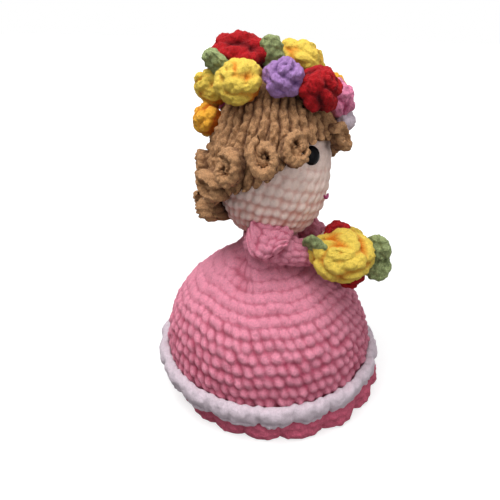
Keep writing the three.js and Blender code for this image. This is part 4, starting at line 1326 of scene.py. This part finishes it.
def knit_frill(side, name):
    ahead, across, up = arm_axes(side, 0.0)
    start = arm_point(side, 0.0)
    share, part = net(np.linspace(0, 1, FRILL_ROWS), np.linspace(0, 1, FRILL_COLUMNS))
    flare = np.maximum(0, follow(FLARE, share))
    wave = FRILL_WAVE * (1 - np.cos(part * FRILL_WAVES * FULL_TURN)) / 2
    turn = side * np.radians((FRILL_FROM + (FRILL_TO - FRILL_FROM) * part) * follow(FRILL_DROP, share))
    inner = ARM_RADIUS - FRILL_OVERLAP + (FRILL_FLARE + wave) * flare
    edge = np.minimum(np.minimum(share, 1 - share) * 5, np.minimum(part, 1 - part) * 6)
    thick = FRILL_THICK * np.sqrt(1 - (1 - np.clip(edge, 0.02, 1)) ** 2)
    along = -FRILL_BACK + (FRILL_REACH + FRILL_BACK) * share

    def at(radius):
        return (start + along[..., None] * ahead + (radius * np.sin(turn))[..., None] * across
                + (radius * np.cos(turn))[..., None] * up)

    bumps = stitches(part * FRILL_STITCHES + FIRST_COLUMN, along / SLEEVE_ROUND + FIRST_ROUND, KNOBBLE, 0,
                     91 if side > 0 else 95, wobble=0.25)
    rough = pile(at(inner), FRILL_PILE)
    outer = at(inner + thick + (bumps - 0.7) * FRILL_RISE * np.clip(edge * 2, 0.2, 1) + rough)
    under = at(inner + (FRILL_THICK - thick) / 2)
    grid = np.concatenate([outer, under[:, ::-1]], axis=1)
    # painted shade: light creases on top, darker underneath
    light = SLEEVE_LIGHT + (1 - SLEEVE_LIGHT) * bumps
    height = np.concatenate([light, bumps[:, ::-1] * FRILL_UNDER_SHADE], axis=1)
    return crocheted(name, grid, height, turned=side < 0)


for side, word in SIDES:
    knit_frill(side, word + "_sleeve_frill")
print("frills:", len(SIDES))

# %% [markdown]
# Chest and neck
#
# Between the head and the bodice a little of the body's skin shows. It is a
# rounded stump with the same soft rounds as the head.

# %% Chest and neck
STUMP_ROWS = 40
STUMP_COLUMNS = 180
STUMP_ROUND = 8
STUMP_STRAIGHT = 0.55
STUMP_MIDDLE = 0.85


def knit_stump(name, top_share, count):
    low, high = box_mm(name)
    z, angle = net(np.linspace(low[2], high[2], STUMP_ROWS), once_around(STUMP_COLUMNS))
    share = (z - low[2]) / (high[2] - low[2])
    size = 1 - (1 - top_share) * ramp(share, STUMP_STRAIGHT, 1) ** 2
    middle, half = (low + high) / 2, (high - low) / 2
    grid = polar(size, angle, z) * [half[0], half[1], 1] + [middle[0], middle[1], 0]
    bumps = stitches(count_round(angle, count), -z / STUMP_ROUND + FIRST_COLUMN, FACE_STITCH, count, 101)
    grid = pushed(grid, bumps - STUMP_MIDDLE)
    return crocheted(name, grid, bumps)


for name, top_share, count in (("chest", 0.8, 18), ("neck", 0.9, 9)):
    stump = knit_stump(name, top_share, count)
    print(name, "points:", len(stump.data.vertices))

# %% [markdown]
# Eyes and mouth
#
# The eyes are safety eyes, black domes of glossy plastic on a stem. The mouth is
# one stitch of magenta thread.

# %% Eyes
def plain(name, colour, rough, shine=0.5):
    settings = {"Base Color": (*colour, 1), "Roughness": rough, "Specular IOR Level": shine}
    return new_material(name, settings)[0]


EYE_PLASTIC = plain("black_eye_plastic", srgb(14, 13, 16), 0.14, shine=0.04)
WASHER_PLASTIC = plain("white_washer_plastic", srgb(225, 225, 222), 0.5)
EYE_BULGE = 4.6
EYE_CROWN = math.pi / 2 - 0.03
EYE_RIM = -0.35


def eye(node):
    axes, foot, size = seat(node)
    radius = (size[0] + size[1]) / 4
    _, _, unit = ball_grid(24, 64, EYE_CROWN, EYE_RIM)
    grid = (unit * [radius, radius, EYE_BULGE] + [0, 0, size[2] - EYE_BULGE]) @ axes.T + foot
    piece = build(node + "_dome", grid, np.ones(grid.shape[:2]), caps=(True, True))
    return dress_up(piece, node, material=EYE_PLASTIC)


EYES = ("right_eye", "left_eye")
for node in EYES:
    eye(node)
    washer = frame["nodes"][node + "_washer"].data
    washer.materials.clear()
    washer.materials.append(WASHER_PLASTIC)
print("eyes:", len(EYES))

# %% Mouth
MOUTH_DROP = 15.5
MOUTH_HALF = 8.0
MOUTH_SMILE = 2.5
MOUTH_THICK = 1.4
MOUTH_OUT = 0.9
MOUTH_THREAD = plain("magenta_thread", srgb(168, 54, 112), 0.8)


def mouth():
    share = np.linspace(-1, 1, 60)
    turns = once_around(20)[None, :, None]
    turn = np.arcsin(share * MOUTH_HALF / HEAD_RADIUS)
    rise = -math.radians(MOUTH_DROP) + MOUTH_SMILE * share**2 / HEAD_CHIN_DROP
    thick = MOUTH_THICK * np.sqrt(np.clip(1 - share**2, 0.05, 1))
    centre = head_points(turn, rise, MOUTH_OUT)
    outward = head_points(turn, rise, MOUTH_OUT + 1) - centre
    along = np.gradient(centre, axis=0)
    along /= np.linalg.norm(along, axis=1)[:, None]
    outward /= np.linalg.norm(outward, axis=1)[:, None]
    across = np.cross(along, outward)
    ring = np.cos(turns) * outward[:, None] + np.sin(turns) * across[:, None]
    grid = centre[:, None] + thick[:, None, None] * ring
    piece = build("mouth_thread", grid, np.ones(grid.shape[:2]), caps=(True, True))
    return dress_up(piece, "mouth_stitch", material=MOUTH_THREAD)


print("mouth points:", len(mouth().data.vertices))

# %% [markdown]
# Light and floor
#
# The photograph was lit softly from above and in front, on white. The floor is
# white to the camera but an ordinary pale grey to the light, so it keeps the
# doll's shadow without glowing up at it.

# %% Floor
FLOOR_HALF = 4.0
FLOOR_SEEN = {"Base Color": (0.42, 0.42, 0.42, 1), "Roughness": 0.9}
FLOOR_UNSEEN = {"Color": (0.22, 0.22, 0.22, 1)}
GLOW_BY_DISTANCE = {"From Min": 0.25, "From Max": 1.0, "To Min": 0.66, "To Max": 1.0}


def seen_directly(nodes, links):
    """1 for rays from the camera, and for those that reach it by a mirror or through glass."""
    path = new_node(nodes, "LightPath")
    value = path.outputs["Is Camera Ray"]
    for kind in ("Is Glossy Ray", "Is Transmission Ray"):
        larger = new_node(nodes, "Math", operation="MAXIMUM")
        links.new(value, larger.inputs[0])
        links.new(path.outputs[kind], larger.inputs[1])
        value = larger.outputs[0]
    return value


def backdrop_material():
    material, shader, nodes, links = new_material("pale_floor", FLOOR_SEEN)
    dim = new_node(nodes, "BsdfDiffuse", FLOOR_UNSEEN)
    place = new_node(nodes, "TexCoord")
    away = new_node(nodes, "VectorMath", operation="LENGTH")
    far = new_node(nodes, "MapRange", GLOW_BY_DISTANCE)
    glow = new_node(nodes, "Emission")
    both = new_node(nodes, "AddShader")
    pick = new_node(nodes, "MixShader")
    wire(links, [
        (place, "Object", away, 0), (away, "Value", far, "Value"), (far, "Result", glow, "Strength"),
        (shader, 0, both, 0), (glow, 0, both, 1), (dim, 0, pick, 1), (both, 0, pick, 2),
        (pick, 0, nodes["Material Output"], "Surface"),
    ])
    links.new(seen_directly(nodes, links), pick.inputs[0])
    return material


floor_mesh = bpy.data.meshes.new("floor")
corners = [(x * FLOOR_HALF, y * FLOOR_HALF, 0) for x, y in ((-1, -1), (1, -1), (1, 1), (-1, 1))]
floor_mesh.from_pydata(corners, [], [(0, 1, 2, 3)])
floor = bpy.data.objects.new("floor", floor_mesh)
bpy.context.collection.objects.link(floor)
floor_mesh.materials.append(backdrop_material())
print("floor:", 2 * FLOOR_HALF, "m across")

# %% Light
WORLD_LEVEL = 0.36
LIGHT_AIM = Vector((0, 0, 0.13))
LAMPS = [
    # place, width across and power
    ("key", (-0.22, 0.14, 1.0), 0.8, 11.0),
    ("front", (-0.50, -0.90, 0.50), 0.9, 3.0),
]

for name, place, size, power in LAMPS:
    data = bpy.data.lights.new(name, "AREA")
    data.shape = "DISK"
    data.size = size
    data.energy = power
    light = bpy.data.objects.new(name, data)
    light.location = place
    light.rotation_euler = (LIGHT_AIM - Vector(place)).to_track_quat("-Z", "Y").to_euler()
    bpy.context.collection.objects.link(light)

world = bpy.data.worlds.new("world")
bpy.context.scene.world = world
world.use_nodes = True
sky_nodes, sky_links = world.node_tree.nodes, world.node_tree.links
background = sky_nodes["Background"]
background.inputs["Color"].default_value = (1, 1, 1, 1)
level = new_node(sky_nodes, "MapRange", {"To Min": WORLD_LEVEL, "To Max": 1.0})
sky_links.new(seen_directly(sky_nodes, sky_links), level.inputs["Value"])
sky_links.new(level.outputs[0], background.inputs["Strength"])
bpy.context.scene.view_settings.view_transform = "Standard"
print("lamps:", len(LAMPS))

# %% [markdown]
# Finish

# %% Finish
bpy.context.view_layer.update()
